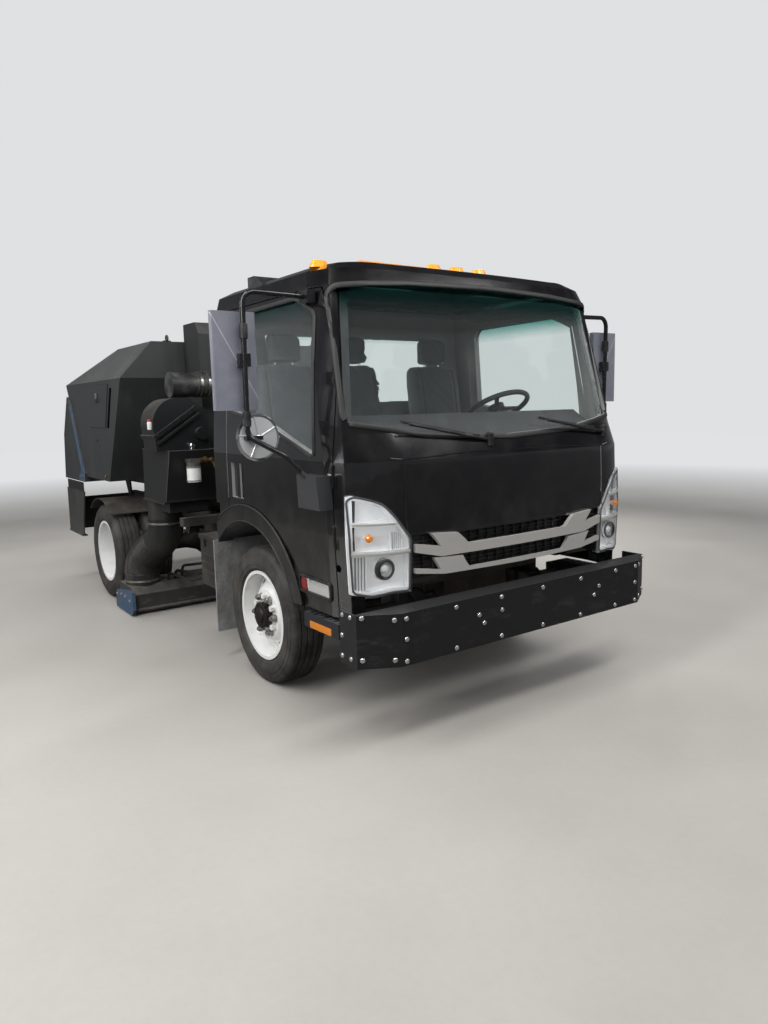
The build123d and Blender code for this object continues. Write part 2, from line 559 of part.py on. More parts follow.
# Grille: a black panel of slats behind upright fins, and two silver bars before it. Each bar's
# outline is (x, z) on the left half: a wing kicks up, or a plate, and an arm runs to the lamp.
GRILLE_Y = -1118
GRILLE_LOW = 783
GRILLE_BAR_OUT = 24
FIN_STEP = 61
panel = front_plate([(-GRILLE_HALF, GRILLE_LOW)] + GRILLE_TOP + [(GRILLE_HALF, GRILLE_LOW)], GRILLE_Y, GRILLE_Y + 6)
for z in range(GRILLE_LOW + 14, 980, 20):
    panel += span((-GRILLE_HALF, GRILLE_HALF), (GRILLE_Y - 10, GRILLE_Y), (z, z + 5))
for n in range(-10, 11):
    panel += span((n * FIN_STEP - 2, n * FIN_STEP + 2), (GRILLE_Y - 16, GRILLE_Y), (GRILLE_LOW, 980))
export("grille", panel)
UPPER_BAR = [(0, 926), (340, 926), (362, 932), (380, 950), (425, 987), (586, 998), (524, 930), (672, 955),
             (672, 914), (525, 879), (0, 878)]
LOWER_BAR = [(0, 804), (346, 804), (374, 838), (392, 868), (569, 877), (526, 813), (672, 836), (672, 812),
             (502, 789), (0, 783)]
bars = None
for outline, post_low in ((UPPER_BAR, 904), (LOWER_BAR, 822)):
    half_bar = front_plate(outline, -1220, -1110)
    one = both(half_bar) & (cab_body(-GRILLE_BAR_OUT) - cab_body(-1))
    one += both(span((440, 470), (-1165, GRILLE_Y - 10 - CLEAR), (post_low, post_low + 28)))
    bars = one if bars is None else bars + one
export("grille_bars", bars)

# Engine: one plain block between the rails, under the cab, and its cooling pack on the front member
pack = span((-235, 235), (FRONT_MEMBERS[0] + 30 + CLEAR, -765), (560, 875))
for n in range(-5, 6):
    pack += span((n * 40 - 3, n * 40 + 3), (FRONT_MEMBERS[0] + 16, FRONT_MEMBERS[0] + 31), (735, 865))
export("engine", span((-250, 250), (-420, 480), (480, 870)), pack)

# Dashboard, steering wheel, seats
DASH_TOP = 1560
dash = side_plate([(-1030, 1180), (-1030, 1400), (-940, 1450), (-780, DASH_TOP), (-680, DASH_TOP - 8),
                   (-640, DASH_TOP - 60), (-660, 1330), (-690, 1180), (-760, 1120)], -880, 880)
dash &= cab_body(CAB_WALL + CLEAR)
SEAT_X = 583
COLUMN_X = SEAT_X
WHEEL_AT = Vector(COLUMN_X, -410, 1575)
lean = Plane(origin=WHEEL_AT, x_dir=(1, 0, 0), z_dir=(0, 0.55, 1))
column = bar(tuple(WHEEL_AT - lean.z_dir * 440), tuple(WHEEL_AT - lean.z_dir * (18 + CLEAR)), 30)
shroud = side_plate([(-700, 1190), (-600, 1180), (-500, 1380), (-470, 1450), (-520, 1490), (-660, 1500)],
                    COLUMN_X - 50, COLUMN_X + 50)
column = (column + shroud) - dash
export("dashboard", dash, Pos(0, CLEAR, 0) * max(column.solids(), key=lambda solid: solid.volume))
ring = lean.location * (Torus(205, 16) + Cylinder(52, 36))
for turn in (0, 130, 230):
    ring += lean.location * (Rot(0, 0, turn) * Pos(125, 0, 0) * Box(180, 26, 12))
export("steering_wheel", ring)


def seat(x, half, head_half):
    base = side_plate([(-330, CAB_FLOOR + CLEAR), (-330, 1170), (-345, 1235), (-300, 1262), (130, 1235),
                       (150, CAB_FLOOR + CLEAR)], x - half, x + half)
    back = side_plate([(90, 1225), (170, 1760), (200, 1850), (240, 1872), (282, 1850), (292, 1760),
                       (215, 1225)], x - half + 6, x + half - 6)
    head = side_plate([(186, 1885), (196, 2030), (240, 2062), (286, 2040), (284, 1885)],
                      x - head_half, x + head_half)
    posts = [bar((post, 240, 1840), (post, 240, 1900), 8) for post in (x - 60, x + 60)]
    return base + back + head + posts


export("seats", seat(-SEAT_X, 212, 112), seat(-90, 190, 100), seat(SEAT_X, 212, 112))

# Windscreen wipers
def wiper(pivot, tip):
    arm = bar(pivot, tuple(p + 0.62 * (t - p) for p, t in zip(pivot, tip)), 8)
    blade = bar(tuple(p + 0.18 * (t - p) for p, t in zip(pivot, tip)), tip, 7)
    post = Pos(*pivot) * Cylinder(16, 60)
    return arm + blade + post


wipers = wiper((-160, -1128, 1425), (-666, -1112, 1520)) + wiper((767, -1105, 1432), (260, -1132, 1512))
export("wipers", wipers - skin)

# Roof: marker lamps and an amber light bar
ROOF_TOP = CAB_SECTIONS[-1][0]
# Where the middle of each marker lamp stands, and how high
MARKERS = ((-840, -640, 2285), (-165, -700, 2314), (0, -700, 2314), (165, -700, 2314), (840, -640, 2285))
lamps = [loft([Pos(x, y, z) * Ellipse(56, 34), Pos(x, y, z + 34) * Ellipse(38, 20)]) - skin for x, y, z in MARKERS]
beacon = span((-490, 490), (-420, -290), (ROOF_TOP, 2330))
lens = [(-480, 2330), (480, 2330), (470, 2385), (440, 2395), (-440, 2395), (-470, 2385)]
export("roof_lamps", *lamps, beacon + front_plate(lens, -415, -295))
vent = side_plate([(-90, ROOF_TOP - 60), (200, ROOF_TOP - 60), (200, 2362), (120, 2362)], -820, -620)
export("roof_vent", vent - skin)


# Mirrors, carried by the doors: an arm from the door's top corner, down past the head to a foot
def mirror_set():
    arm = pipe([(955, -720, 2130), (1290, -700, 2140), (1290, -690, 1480), (1160, -790, 1390),
                (1035, -830, 1250)], 60, 13)
    head = level_plate([(1207, -668), (1225, -618), (1324, -596), (1423, -618), (1441, -668)], 1602, 2050)
    head = fillet(head.edges().filter_by(Axis.Z), 12)
    foot = loft([Pos(1020, -840, 1130) * Rectangle(90, 200), Pos(1024, -835, 1290) * Rectangle(96, 180)])
    bridge = span((1262, 1318), (-704, -660), (1800, 1860))
    dome = turned([(0, -30), (60, -22), (109, 0), (109, 8), (0, 8)])
    round_back = Pos(1225, -660, 1472) * Rot(90, 0, 0) * dome
    clip = span((1215, 1300), (-700, -655), (1462, 1482))
    top = span((940, 985), (-760, -680), (2100, 2160))
    return arm + head + foot + bridge + round_back + clip + top


mirrors = mirror_set() - (skin & span((0, beyond), (-1200, 500), (0, 3000)))
mirrors = max(mirrors.solids(), key=lambda solid: solid.volume)
export("mirror_left", mirrors)
export("mirror_right", mirrored(mirrors))

# Steps under the doors, mud flaps behind the front wheels
step = span((800, 1000), (-967, -640), (505, 580)) + span((RAIL_OUT + CLEAR, 820), (-760, -720), (520, 560))
step += span((RAIL_OUT + CLEAR, RAIL_OUT + 60), (-760, -720), (560, 680))
export("side_steps", both(step))
flap = span((500, 985), (520, 532), (192, RAIL_TOP - CLEAR))
export("mud_flaps", both(flap))

# Fuel tank on two brackets, with its straps and filler
TANK = (690, 560)
tank = extrude(Plane.XZ.offset(-760) * Pos(*TANK) * RectangleRounded(440, 400, 70), amount=-640)
for y in (840, 1320):
    tank += extrude(Plane.XZ.offset(20 - y) * Pos(*TANK) * RectangleRounded(448, 408, 74), amount=-40)
    tank += span((RAIL_OUT + CLEAR, 500), (y - 20, y + 20), (620, 700))
tank += bar((800, 1080, 750), (800, 1080, 800), 48)
export("fuel_tank", tank)

# Battery box with its lid and latches
BOX_X, BOX_Y = (-900, -480), (640, 960)
battery = span(BOX_X, BOX_Y, (420, 740)) + span((-520, -RAIL_OUT - CLEAR), (700, 900), (640, 735))
battery += span((BOX_X[0] - 8, BOX_X[1]), (BOX_Y[0] - 8, BOX_Y[1] + 8), (740, 768))
for y in (720, 880):
    battery += span((BOX_X[0] - 14, BOX_X[0]), (y - 14, y + 14), (690, 752))
for z in (500, 560, 620):
    battery += span((BOX_X[0] - 6, BOX_X[0]), (BOX_Y[0] + 20, BOX_Y[1] - 20), (z, z + 22))
export("battery_box", battery)

# Exhaust silencer on two hangers, its pipes and tail
SILENCER_X = 250
hanger_top = rail_low - CLEAR
silencer = bar((SILENCER_X, 800, 500), (SILENCER_X, 1500, 500), 95)
silencer += bar((SILENCER_X, 560, 500), (SILENCER_X, 1780, 500), 32)
for y in (880, 1420):
    silencer += span((SILENCER_X - 20, RAIL_OUT - 10), (y - 20, y + 20), (hanger_top - 16, hanger_top))
    silencer += span((SILENCER_X - 20, SILENCER_X + 20), (y - 20, y + 20), (560, hanger_top))
    silencer += bar((SILENCER_X, y - 20, 500), (SILENCER_X, y + 20, 500), 99)
export("exhaust", silencer)

# Drive shaft to the rear axle
shaft = bar((0, 500, 640), (0, WHEELBASE - 320, TYRE_R + 24), 40)
shaft += bar((0, 480 + CLEAR, 640), (0, 506, 640), 55)
shaft += bar((0, WHEELBASE - 330, TYRE_R + 20), (0, WHEELBASE - 290 - CLEAR, TYRE_R + 20), 60)
export("drive_shaft", shaft)

# Module frame on the rails, behind the cab
DECK_LOW = RAIL_TOP
DECK_TOP = 850
deck = both(span((330, 400), (500, 1940 + BACK), (DECK_LOW, DECK_TOP)))
for y, half in ((500, 930), (1180 + BACK, 930), (1870 + BACK, 640)):
    deck += span((-half, half), (y, y + 70), (DECK_LOW, DECK_TOP))
export("module_frame", deck)

# Auxiliary engine: block, head, sump, flywheel housing, pulleys and radiator
AUX_TOP = 1462
aux = span((-260, 220), (760, 1260), (DECK_TOP + 120, 1280))
aux += span((-200, 160), (820, 1200), (DECK_TOP, DECK_TOP + 120))
aux += span((-240, 200), (790, 1230), (1280, 1420))
aux += bar((-20, 700, 1090), (-20, 760, 1090), 170) + bar((-20, 1260, 1090), (-20, 1360, 1090), 210)
for x in range(-200, 201, 80):
    aux += bar((x, 840, 1420), (x, 840, 1450), 26)
# Cam cover, fuel pump and its pipes, starter, alternator on a belt, and the exhaust manifold
aux += span((-200, 160), (830, 1220), (1420, AUX_TOP)) + span((-330, -260), (820, 980), (1080, 1200))
aux += bar((-310, 1040, 960), (-310, 1230, 960), 46) + bar((-350, 700, 1330), (-350, 820, 1330), 62)
aux += span((-350, -230), (760, 800), (1290, 1370)) + span((-372, -20), (712, 732), (1080, 1100))
for y in (860, 950, 1040, 1130):
    aux += pipe([(-300, y, 1200), (-300, y, 1360), (-225, y, 1390)], 30, 7)
    aux += bar((215, y, 1300), (270, y, 1300), 22)
aux += bar((270, 840, 1300), (270, 1160, 1300), 30)
for z in range(960, 1240, 40):
    aux += span((-268, -255), (1000, 1250), (z, z + 14))
export("aux_engine", aux, back=BACK)
radiator = span((330, 400), (700, 1300), (DECK_TOP, 1560)) + span((400, 460), (740, 1260), (900, 1520))
export("radiator", radiator, back=BACK)

# Air cleaner, lying across behind the cab over the blower, with its pipe to the engine
CLEANER_Y = 1450
CLEANER_Z = 1795
CLEANER_R = 88
cleaner = bar((-860, CLEANER_Y, CLEANER_Z), (-430, CLEANER_Y, CLEANER_Z), CLEANER_R)
cleaner += bar((-875, CLEANER_Y, CLEANER_Z), (-860, CLEANER_Y, CLEANER_Z), CLEANER_R + 4)
for x in (-690, -660, -630, -600, -470):
    cleaner += bar((x, CLEANER_Y, CLEANER_Z), (x + 14, CLEANER_Y, CLEANER_Z), CLEANER_R + 4)
cleaner += pipe([(-430, CLEANER_Y, CLEANER_Z), (-200, CLEANER_Y, CLEANER_Z), (-120, 1180, 1640),
                 (-120, 1180, AUX_TOP + CLEAR)], 70, 38)
export("air_cleaner", cleaner, back=BACK)

# Blower: a scroll housing in two halves, bolted along a flange that runs askew over its face, on
# the transition box
BLOWER_X = -850
BLOWER_Z = 1512
BLOWER_R = 188
BLOWER_FRONT = 1370
BLOWER_REAR = 1640
BOX_TOP = 1322
blower = bar((BLOWER_X, BLOWER_FRONT, BLOWER_Z), (BLOWER_X, BLOWER_REAR, BLOWER_Z), BLOWER_R)
OUTLET = [(BLOWER_X, BLOWER_Z + BLOWER_R), (-740, 1682), (-626, 1602), (-630, BOX_TOP), (-1020, BOX_TOP),
          (BLOWER_X - BLOWER_R, BLOWER_Z)]
blower += front_plate(OUTLET, BLOWER_FRONT, BLOWER_REAR)
FLANGE_BOLTS = 6
flange_low, flange_high = Vector(-1037, 1418), Vector(-713, 1632)
flange_run = flange_high - flange_low
askew = Rot(0, -Vector(1, 0).get_angle(flange_run), 0)
middle = (flange_low + flange_high) / 2
for drop, depth, far in ((0, 32, BLOWER_REAR + 12), (44, 16, BLOWER_REAR)):
    near = BLOWER_FRONT - 22
    blower += Pos(middle.X + drop / 2, (near + far) / 2, middle.Y - drop) * askew * Box(flange_run.length, far - near, depth)
for n in range(FLANGE_BOLTS):
    at = flange_low + flange_run * ((n + 0.5) / FLANGE_BOLTS)
    blower += bar((at.X, BLOWER_FRONT - 28, at.Y), (at.X, BLOWER_FRONT, at.Y), 8)
blower += bar((-690, BLOWER_FRONT - 50, 1440), (-690, BLOWER_FRONT, 1440), 46)
saddle = span((-870, -740), (1435, 1465), (BLOWER_Z + BLOWER_R - 60, CLEANER_Z - 40))
blower += saddle - bar((-900, CLEANER_Y, CLEANER_Z), (-400, CLEANER_Y, CLEANER_Z), CLEANER_R + 4 + CLEAR)
export("blower", blower, back=BACK)
transition = side_plate([(1316, BOX_TOP), (1450, 945), (1517, 925), (1940, 925), (1904, BOX_TOP)], -950, -560)
transition += span((-900, -600), (1520, 1860), (DECK_TOP, 925))
transition += bar((-830, 1830, 780), (-830, 1830, 925), 130)
export("transition_box", transition, back=BACK)
oil_filter = bar((-790, 1285, 1096), (-790, 1285, 1236), 50)
oil_filter += span((-830, -750), (1245, 1370), (1236, 1262)) - transition
export("oil_filter", oil_filter, back=BACK)

# Intake duct: a tall box with a sloped hood, between the blower and the hopper
duct = side_plate([(1660, DECK_TOP), (1660, 2190), (1730, 2280), (1960, 2280), (1960, DECK_TOP)], -545, -250)
export("intake_duct", duct, back=BACK)

# Hoses: pressure hose down to the head on the right, suction tube up to the hopper on the left, each
# with a clamp at its ends
HOSE_R = 135
TUBE_R = 150
HOSE_TOP = (-830, 1830, 780 - CLEAR)
HOSE_END = (-950, 2125, HEAD_TOP + CLEAR)
pressure = pipe([HOSE_TOP, (*HOSE_TOP[:2], 650), (*HOSE_END[:2], 400), HOSE_END], 200, HOSE_R)
pressure += bar((*HOSE_TOP[:2], HOSE_TOP[2] - 46), (*HOSE_TOP[:2], HOSE_TOP[2] - 24), HOSE_R + 3)
pressure += bar((*HOSE_END[:2], HOSE_END[2] + 20), (*HOSE_END[:2], HOSE_END[2] + 42), HOSE_R + 3)
export("pressure_hose", pressure, back=BACK)
TUBE_X = 800
TUBE_END = 2120
suction = pipe([(TUBE_X, TUBE_END, HEAD_TOP + CLEAR), (TUBE_X, TUBE_END, 520), (TUBE_X, 1800, 960),
                (TUBE_X, 1800, 1520), (TUBE_X, 2400, 1520)], 230, TUBE_R)
suction -= side_plate([(1982, HOPPER_TOP), (2462, HOPPER_LOW), (2900, HOPPER_LOW), (2900, HOPPER_TOP)], 500, beyond)
suction += bar((TUBE_X, TUBE_END, HEAD_TOP + 20), (TUBE_X, TUBE_END, HEAD_TOP + 42), TUBE_R + 4)
export("suction_tube", suction, back=BACK)

# Sweep head and its skids
HEAD_NOSE = 165
head_side = [(HEAD_FRONT, HEAD_LOW), (HEAD_FRONT, HEAD_NOSE), (2010, HEAD_TOP), (HEAD_REAR, HEAD_TOP),
             (HEAD_REAR, HEAD_LOW)]
head_inside = [(HEAD_FRONT + PLATE, 0), (HEAD_FRONT + PLATE, HEAD_NOSE - PLATE), (2014, HEAD_TOP - PLATE),
               (HEAD_REAR - PLATE, HEAD_TOP - PLATE), (HEAD_REAR - PLATE, 0)]
head = side_plate(head_side, -HEAD_HALF, HEAD_HALF)
head -= side_plate(head_inside, PLATE - HEAD_HALF, HEAD_HALF - PLATE)
head += bar((-HEAD_HALF, HEAD_FRONT, HEAD_LOW + 16), (HEAD_HALF, HEAD_FRONT, HEAD_LOW + 16), 16)
for x in (-360, 0, 360):
    head += span((x - 5, x + 5), (HEAD_FRONT + 20, HEAD_REAR - 20), (HEAD_TOP - 60, HEAD_TOP + 18))
export("sweep_head", head, back=BACK)
skid = side_plate([(1900, 200), (1890, 60), (1930, SKID_LOW), (2330, SKID_LOW), (2345, 40), (2300, 160),
                   (2000, 200)], HEAD_HALF + CLEAR, HEAD_HALF + 25)
export("head_skids", both(skid), back=BACK)

# Hopper: a V-sided body with a hipped roof and a rear part that the gate closes
FRONT_Y = 1990
HIP_REAR = 2860
HIP_HALF = 800
V_REAR = 3700
V_SIDE = [(FRONT_Y, HOPPER_TOP), (2470, HOPPER_LOW), (3215, HOPPER_LOW), (V_REAR, HOPPER_TOP)]
GATE_LOW = 966
GATE_OUT = [(3850, 1765), (4075, 1402), (REAR_END, GATE_LOW)]
GATE_IN = [(GATE_OUT[0][0] - 38, GATE_OUT[0][1] - 24), (GATE_OUT[1][0] - 43, GATE_OUT[1][1] - 13),
           (GATE_OUT[2][0] - 46, GATE_OUT[2][1])]
REAR_SIDE = [(3215, 1080), (3420, GATE_LOW), (GATE_IN[2][0] - 6, GATE_LOW),
             (GATE_IN[1][0] - 6, GATE_IN[1][1] - 2), (GATE_IN[0][0] - 6, GATE_IN[0][1] - 2), (3640, 1765)]


def side_face(points, inset):
    face = Polygon(*points, align=None)
    return offset(face, -inset, kind=Kind.INTERSECTION) if inset else face


def hopper_form(inset):
    v_part = extrude(Plane.YZ.offset(inset - HOPPER_HALF) * side_face(V_SIDE, inset),
                     amount=2 * (HOPPER_HALF - inset), dir=(1, 0, 0))
    rear = extrude(Plane.YZ.offset(inset - GATE_HALF) * side_face(REAR_SIDE, inset),
                   amount=2 * (GATE_HALF - inset), dir=(1, 0, 0))
    roof = []
    for z, half, end in ((HOPPER_TOP, HOPPER_HALF, V_REAR), (HOPPER_PEAK, HIP_HALF, HIP_REAR)):
        face = Rectangle(2 * (half - inset), end - FRONT_Y - 2 * inset)
        roof.append(Pos(0, (FRONT_Y + end) / 2, z - inset) * face)
    return v_part, rear, loft(roof)


outer_v, outer_rear, outer_hip = hopper_form(0)
inner_v, inner_rear, inner_hip = hopper_form(HOPPER_WALL)
hopper = (outer_v + outer_rear + outer_hip) - (inner_v + inner_rear + inner_hip)
way_through = side_plate([(2900, 1300), (3215, 1090), (3430, 980), (3800, 980), (3760, 1700), (3300, 1700)],
                         HOPPER_WALL - GATE_HALF, GATE_HALF - HOPPER_WALL)
hopper -= way_through
mouth = side_plate([(V_REAR, 1600), (3760, 986), (4300, 986), (4300, 1725), (3770, 1725)],
                   20 - GATE_HALF, GATE_HALF - 20)
hopper -= mouth
BEAM_IN, BEAM_OUT = 364, 404
tilt_beam = side_plate([(2480, HOPPER_LOW), (2500, 905), (4060, 882), (TILT_Y, 880), (TILT_Y + 24, 888),
                        (TILT_Y + 36, TILT_Z), (TILT_Y + 20, 940), (TILT_Y - 14, GATE_LOW + 4), (3430, GATE_LOW + 4),
                        (3215, HOPPER_LOW)], BEAM_IN, BEAM_OUT)
tilt_beam -= bar((0, TILT_Y, TILT_Z), (beyond, TILT_Y, TILT_Z), TILT_PIN_R + RUNNING)
eye_y, eye_low = RAM_EYE[0], RAM_EYE[1] - 45
ram_ear = side_plate([(eye_y - 60, HOPPER_LOW), (eye_y - 35, eye_low), (eye_y + 35, eye_low),
                      (eye_y + 60, HOPPER_LOW)], 34, 50)
gate_tab = side_plate([(3740, 1762), (3790, 1808), (3822, 1808), (3824, 1775), (3800, 1735)], 400, 420)
hopper += both(tilt_beam) + both(ram_ear) + both(gate_tab)
# On the right side: an inspection hatch with its latch, a slot beside it and a drain plug; on both
# sides: the tapering arm along the rear edge with its bracket, and a lifting ring on the roof
hatch = [(2925, 1835), (2325, 1835), (2470, 1483), (2925, 1483)]
slot = [(2235, 1800), (2298, 1800), (2442, 1480), (2378, 1480)]
hopper += side_plate(hatch, -HOPPER_HALF - 6, -HOPPER_HALF)
hopper += side_plate([(2655, 1770), (2612, 1770), (2612, 1690), (2655, 1690)], -HOPPER_HALF - 16, -HOPPER_HALF)
hopper -= side_plate(slot, -HOPPER_HALF - 1, HOPPER_WALL - HOPPER_HALF + 1)
hopper -= span((-HOPPER_HALF - 1, -HOPPER_HALF + 4), (2650, 2760), (1354, 1378))
side_arm = side_plate([(3560, 1728), (3620, 1728), (3300, 1045), (3205, 1045)], HOPPER_HALF - 1, HOPPER_HALF + 12)
side_arm += side_plate([(3190, 1060), (3380, 1060), (3420, 985), (3205, 985)], HOPPER_HALF - 60, HOPPER_HALF + 16)
ring = Pos(668, FRONT_Y + 14, HOPPER_PEAK + 24) * Rot(0, 90, 0) * Torus(22, 7)
ring += span((640, 696), (FRONT_Y + 2, FRONT_Y + 40), (HOPPER_PEAK - 2, HOPPER_PEAK + 8))
hopper += both(side_arm) + both(ring)
hopper += both(bar((340, *GATE_HINGE), (420, *GATE_HINGE), 12))
# Both side walls are plates of their own, joined to the rest along a seam
seam = HOPPER_HALF - 15
core, *walls = [hopper & span(across, (FRONT_Y - 100, 4400), (800, 2300)) for across in
                ((-seam, seam), (seam + CLEAR, beyond), (-beyond, -seam - CLEAR))]
export("hopper", core, *walls, back=BACK)
gate = side_plate(GATE_OUT + GATE_IN[::-1], -GATE_HALF, GATE_HALF)
hinge_y, hinge_z = GATE_HINGE
gate_ear = side_plate([(hinge_y - 18, hinge_z - 14), (hinge_y - 16, hinge_z + 16), (hinge_y + 18, hinge_z + 16),
                       (3880, 1760), (3850, 1740)], 350, 380)
gate += both(gate_ear)
gate -= bar((-beyond, *GATE_HINGE), (beyond, *GATE_HINGE), 12 + RUNNING)
export("tailgate", gate, back=BACK)

# Rear of the chassis: the tilt hinge's brackets, side skirts and a cross bar with lamps
HINGE_EAR = [(RAIL_REAR - 90, RAIL_TOP - 40), (RAIL_REAR - 60, 930), (TILT_Y - 12, 946), (TILT_Y + 14, 946),
             (TILT_Y + 30, 930), (TILT_Y + 30, 885), (RAIL_REAR - 4, RAIL_TOP - 40)]
hinge_ear = side_plate(HINGE_EAR, RAIL_OUT + CLEAR, RAIL_OUT + 16)
pins = bar((BEAM_IN - 20, TILT_Y, TILT_Z), (RAIL_OUT + 16, TILT_Y, TILT_Z), TILT_PIN_R)
seat_z = RAIL_TOP + CLEAR
rest = side_plate([(2540, seat_z), (2540, 904), (2600, 903.2), (2600, seat_z)], BEAM_IN, BEAM_OUT)
for piece in (hinge_ear + pins, rest):
    chassis += [Pos(0, BACK, 0) * piece, Pos(0, BACK, 0) * mirrored(piece)]
cab_rest = span((-430, 430), (325, 375), (1000, CAB_FLOOR - 30 - CLEAR))
cab_rest += both(span((RAIL_OUT - 50, RAIL_OUT), (325, 375), (RAIL_TOP + CLEAR, 1000)))
export("cab_mounts", hinge, cab_rest)
skirt = side_plate([(3616, SKIRT_LOW), (3470, SKIRT_TOP), (4120, SKIRT_TOP), (4135, SKIRT_LOW)],
                   GATE_HALF - 12, GATE_HALF)
cross = span((-GATE_HALF + 12, GATE_HALF - 12), (4100, 4120), (SKIRT_LOW, 760))
mount = both(span((RAIL_OUT - 60, RAIL_OUT), (RAIL_REAR + CLEAR, 4100), (640, 745)))
lip = span((GATE_HALF - 40, GATE_HALF + 6), (3612, 4140), (SKIRT_LOW - 8, SKIRT_LOW + 4))
for x in (740, 880):
    lip += bar((x, 4118, 600), (x, 4142, 600), 52)
export("rear_skirts", cross + mount + both(skirt + lip), back=BACK)

# Tilt cylinder: a barrel on the chassis and its rod, the eye left free of the hopper's ears
foot, eye = Vector(0, *RAM_FOOT), Vector(0, *RAM_EYE)
along = (eye - foot).normalized()
reach = (eye - foot).length
barrel = bar(tuple(foot + along * 30), tuple(foot + along * (reach - 120)), RAM_R)
barrel -= bar(tuple(foot + along * 60), tuple(foot + along * reach), RAM_ROD_R + RUNNING)
barrel += bar((-30, *RAM_FOOT), (30, *RAM_FOOT), 45)
barrel -= bar((-40, *RAM_FOOT), (40, *RAM_FOOT), TILT_PIN_R + RUNNING)
export("ram_barrel", barrel, back=BACK)
rod = bar(tuple(foot + along * 70), tuple(foot + along * (reach - 20)), RAM_ROD_R)
rod += bar((-28, *RAM_EYE), (28, *RAM_EYE), 38)
rod -= bar((-40, *RAM_EYE), (40, *RAM_EYE), TILT_PIN_R + 2)
export("ram_rod", rod, back=BACK)
chassis.append(Pos(0, BACK, 0) * bar((-web_in, *RAM_FOOT), (web_in, *RAM_FOOT), TILT_PIN_R))
export("frame", *chassis)

# Guards over the rear tyres
GUARD_IN = 528
guard = Cylinder(TYRE_R + 62, 2 * (805 - GUARD_IN)) - Cylinder(TYRE_R + 56, 600)
guard = Pos(805, WHEELBASE, TYRE_R) * Rot(0, 90, 0) * guard
guard &= span((0, beyond), (WHEELBASE - 300, WHEELBASE + 300), (TYRE_R + 340, 2 * TYRE_R + 100))
for y in (WHEELBASE - 200, WHEELBASE + 200):
    strut = span((RAIL_OUT + CLEAR, GUARD_IN + 20), (y - 15, y + 15), (740, 756))
    strut += span((GUARD_IN + 4, GUARD_IN + 20), (y - 15, y + 15), (740, 822))
    guard += strut
export("rear_guards", both(guard))
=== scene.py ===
"""A street sweeper truck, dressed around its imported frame. Metres: +X is the truck's left, -Y its
front, +Z up, with the origin on the ground under its middle."""
import math
from functools import partial

import bmesh
import bpy
from mathutils import Matrix, Vector
from mathutils.bvhtree import BVHTree


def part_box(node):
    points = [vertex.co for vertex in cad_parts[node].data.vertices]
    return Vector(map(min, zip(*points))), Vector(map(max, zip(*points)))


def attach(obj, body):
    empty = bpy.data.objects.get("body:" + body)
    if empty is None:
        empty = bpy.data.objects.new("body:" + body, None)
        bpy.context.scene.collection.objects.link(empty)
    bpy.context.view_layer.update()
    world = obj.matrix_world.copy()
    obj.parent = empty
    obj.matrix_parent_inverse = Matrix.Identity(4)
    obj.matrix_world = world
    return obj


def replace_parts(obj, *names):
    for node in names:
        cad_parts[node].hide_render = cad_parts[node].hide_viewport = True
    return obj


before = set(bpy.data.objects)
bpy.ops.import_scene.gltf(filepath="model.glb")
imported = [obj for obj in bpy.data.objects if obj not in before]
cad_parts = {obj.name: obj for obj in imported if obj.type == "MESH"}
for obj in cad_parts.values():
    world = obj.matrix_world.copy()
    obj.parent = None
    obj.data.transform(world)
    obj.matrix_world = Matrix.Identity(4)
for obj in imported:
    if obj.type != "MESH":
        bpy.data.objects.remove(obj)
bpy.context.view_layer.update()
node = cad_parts

# The camera stands off the truck's right front corner, at about a person's eye height, and looks
# along its side. Its place, turn and focal length are those solved from the photograph.
AXLE = sum(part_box("front_tyre_right"), Vector()) / 2
AXLE.x = 0


def spot(x, y, z):
    """A point from its place in millimetres across, behind the front axle and above the ground."""
    return Vector((x / 1000, AXLE.y + y / 1000, z / 1000))


EYE = spot(-2813, -3896, 1606)
YAW, PITCH, ROLL = math.radians(35.576), math.radians(-8.078), math.radians(-1.353)
PHOTO_FOCAL_PIXELS = 745.8
PHOTO_HEIGHT = 1024
photo_lens = bpy.data.cameras.new("camera")
photo_lens.sensor_width = 36
photo_lens.lens = PHOTO_FOCAL_PIXELS / PHOTO_HEIGHT * photo_lens.sensor_width
photo_lens.clip_start = 0.05
camera = bpy.data.objects.new("camera", photo_lens)
turn = Matrix.Rotation(-YAW, 4, "Z") @ Matrix.Rotation(math.pi / 2 + PITCH, 4, "X")
camera.matrix_world = Matrix.Translation(EYE) @ turn @ Matrix.Rotation(ROLL, 4, "Z")
bpy.context.scene.collection.objects.link(camera)
bpy.context.scene.camera = camera
bpy.context.scene.view_settings.view_transform = "Standard"


# The room: soft lamps overhead in long rows, as in a workshop, and a plain pale world that is
# darker overhead where only the paint's gloss sees it.
class Wire:
    """A shader socket in an expression: each operator adds the Math node that works it out."""

    def __init__(self, paint, socket):
        self.paint, self.socket = paint, socket

    def math(self, operation, *values):
        return self.paint.math_of(operation, *values)

    def __add__(self, other):
        return self.math("ADD", self, other)

    def __sub__(self, other):
        return self.math("SUBTRACT", self, other)

    def __rsub__(self, other):
        return self.math("SUBTRACT", other, self)

    def __mul__(self, other):
        return self.math("MULTIPLY", self, other)

    def __gt__(self, other):
        return self.math("GREATER_THAN", self, other)

    def __lt__(self, other):
        return self.math("LESS_THAN", self, other)

    __radd__, __rmul__ = __add__, __mul__

    def clamp(self):
        """The value held between 0 and 1."""
        return self.math("MINIMUM", self.math("MAXIMUM", self, 0.0), 1.0)


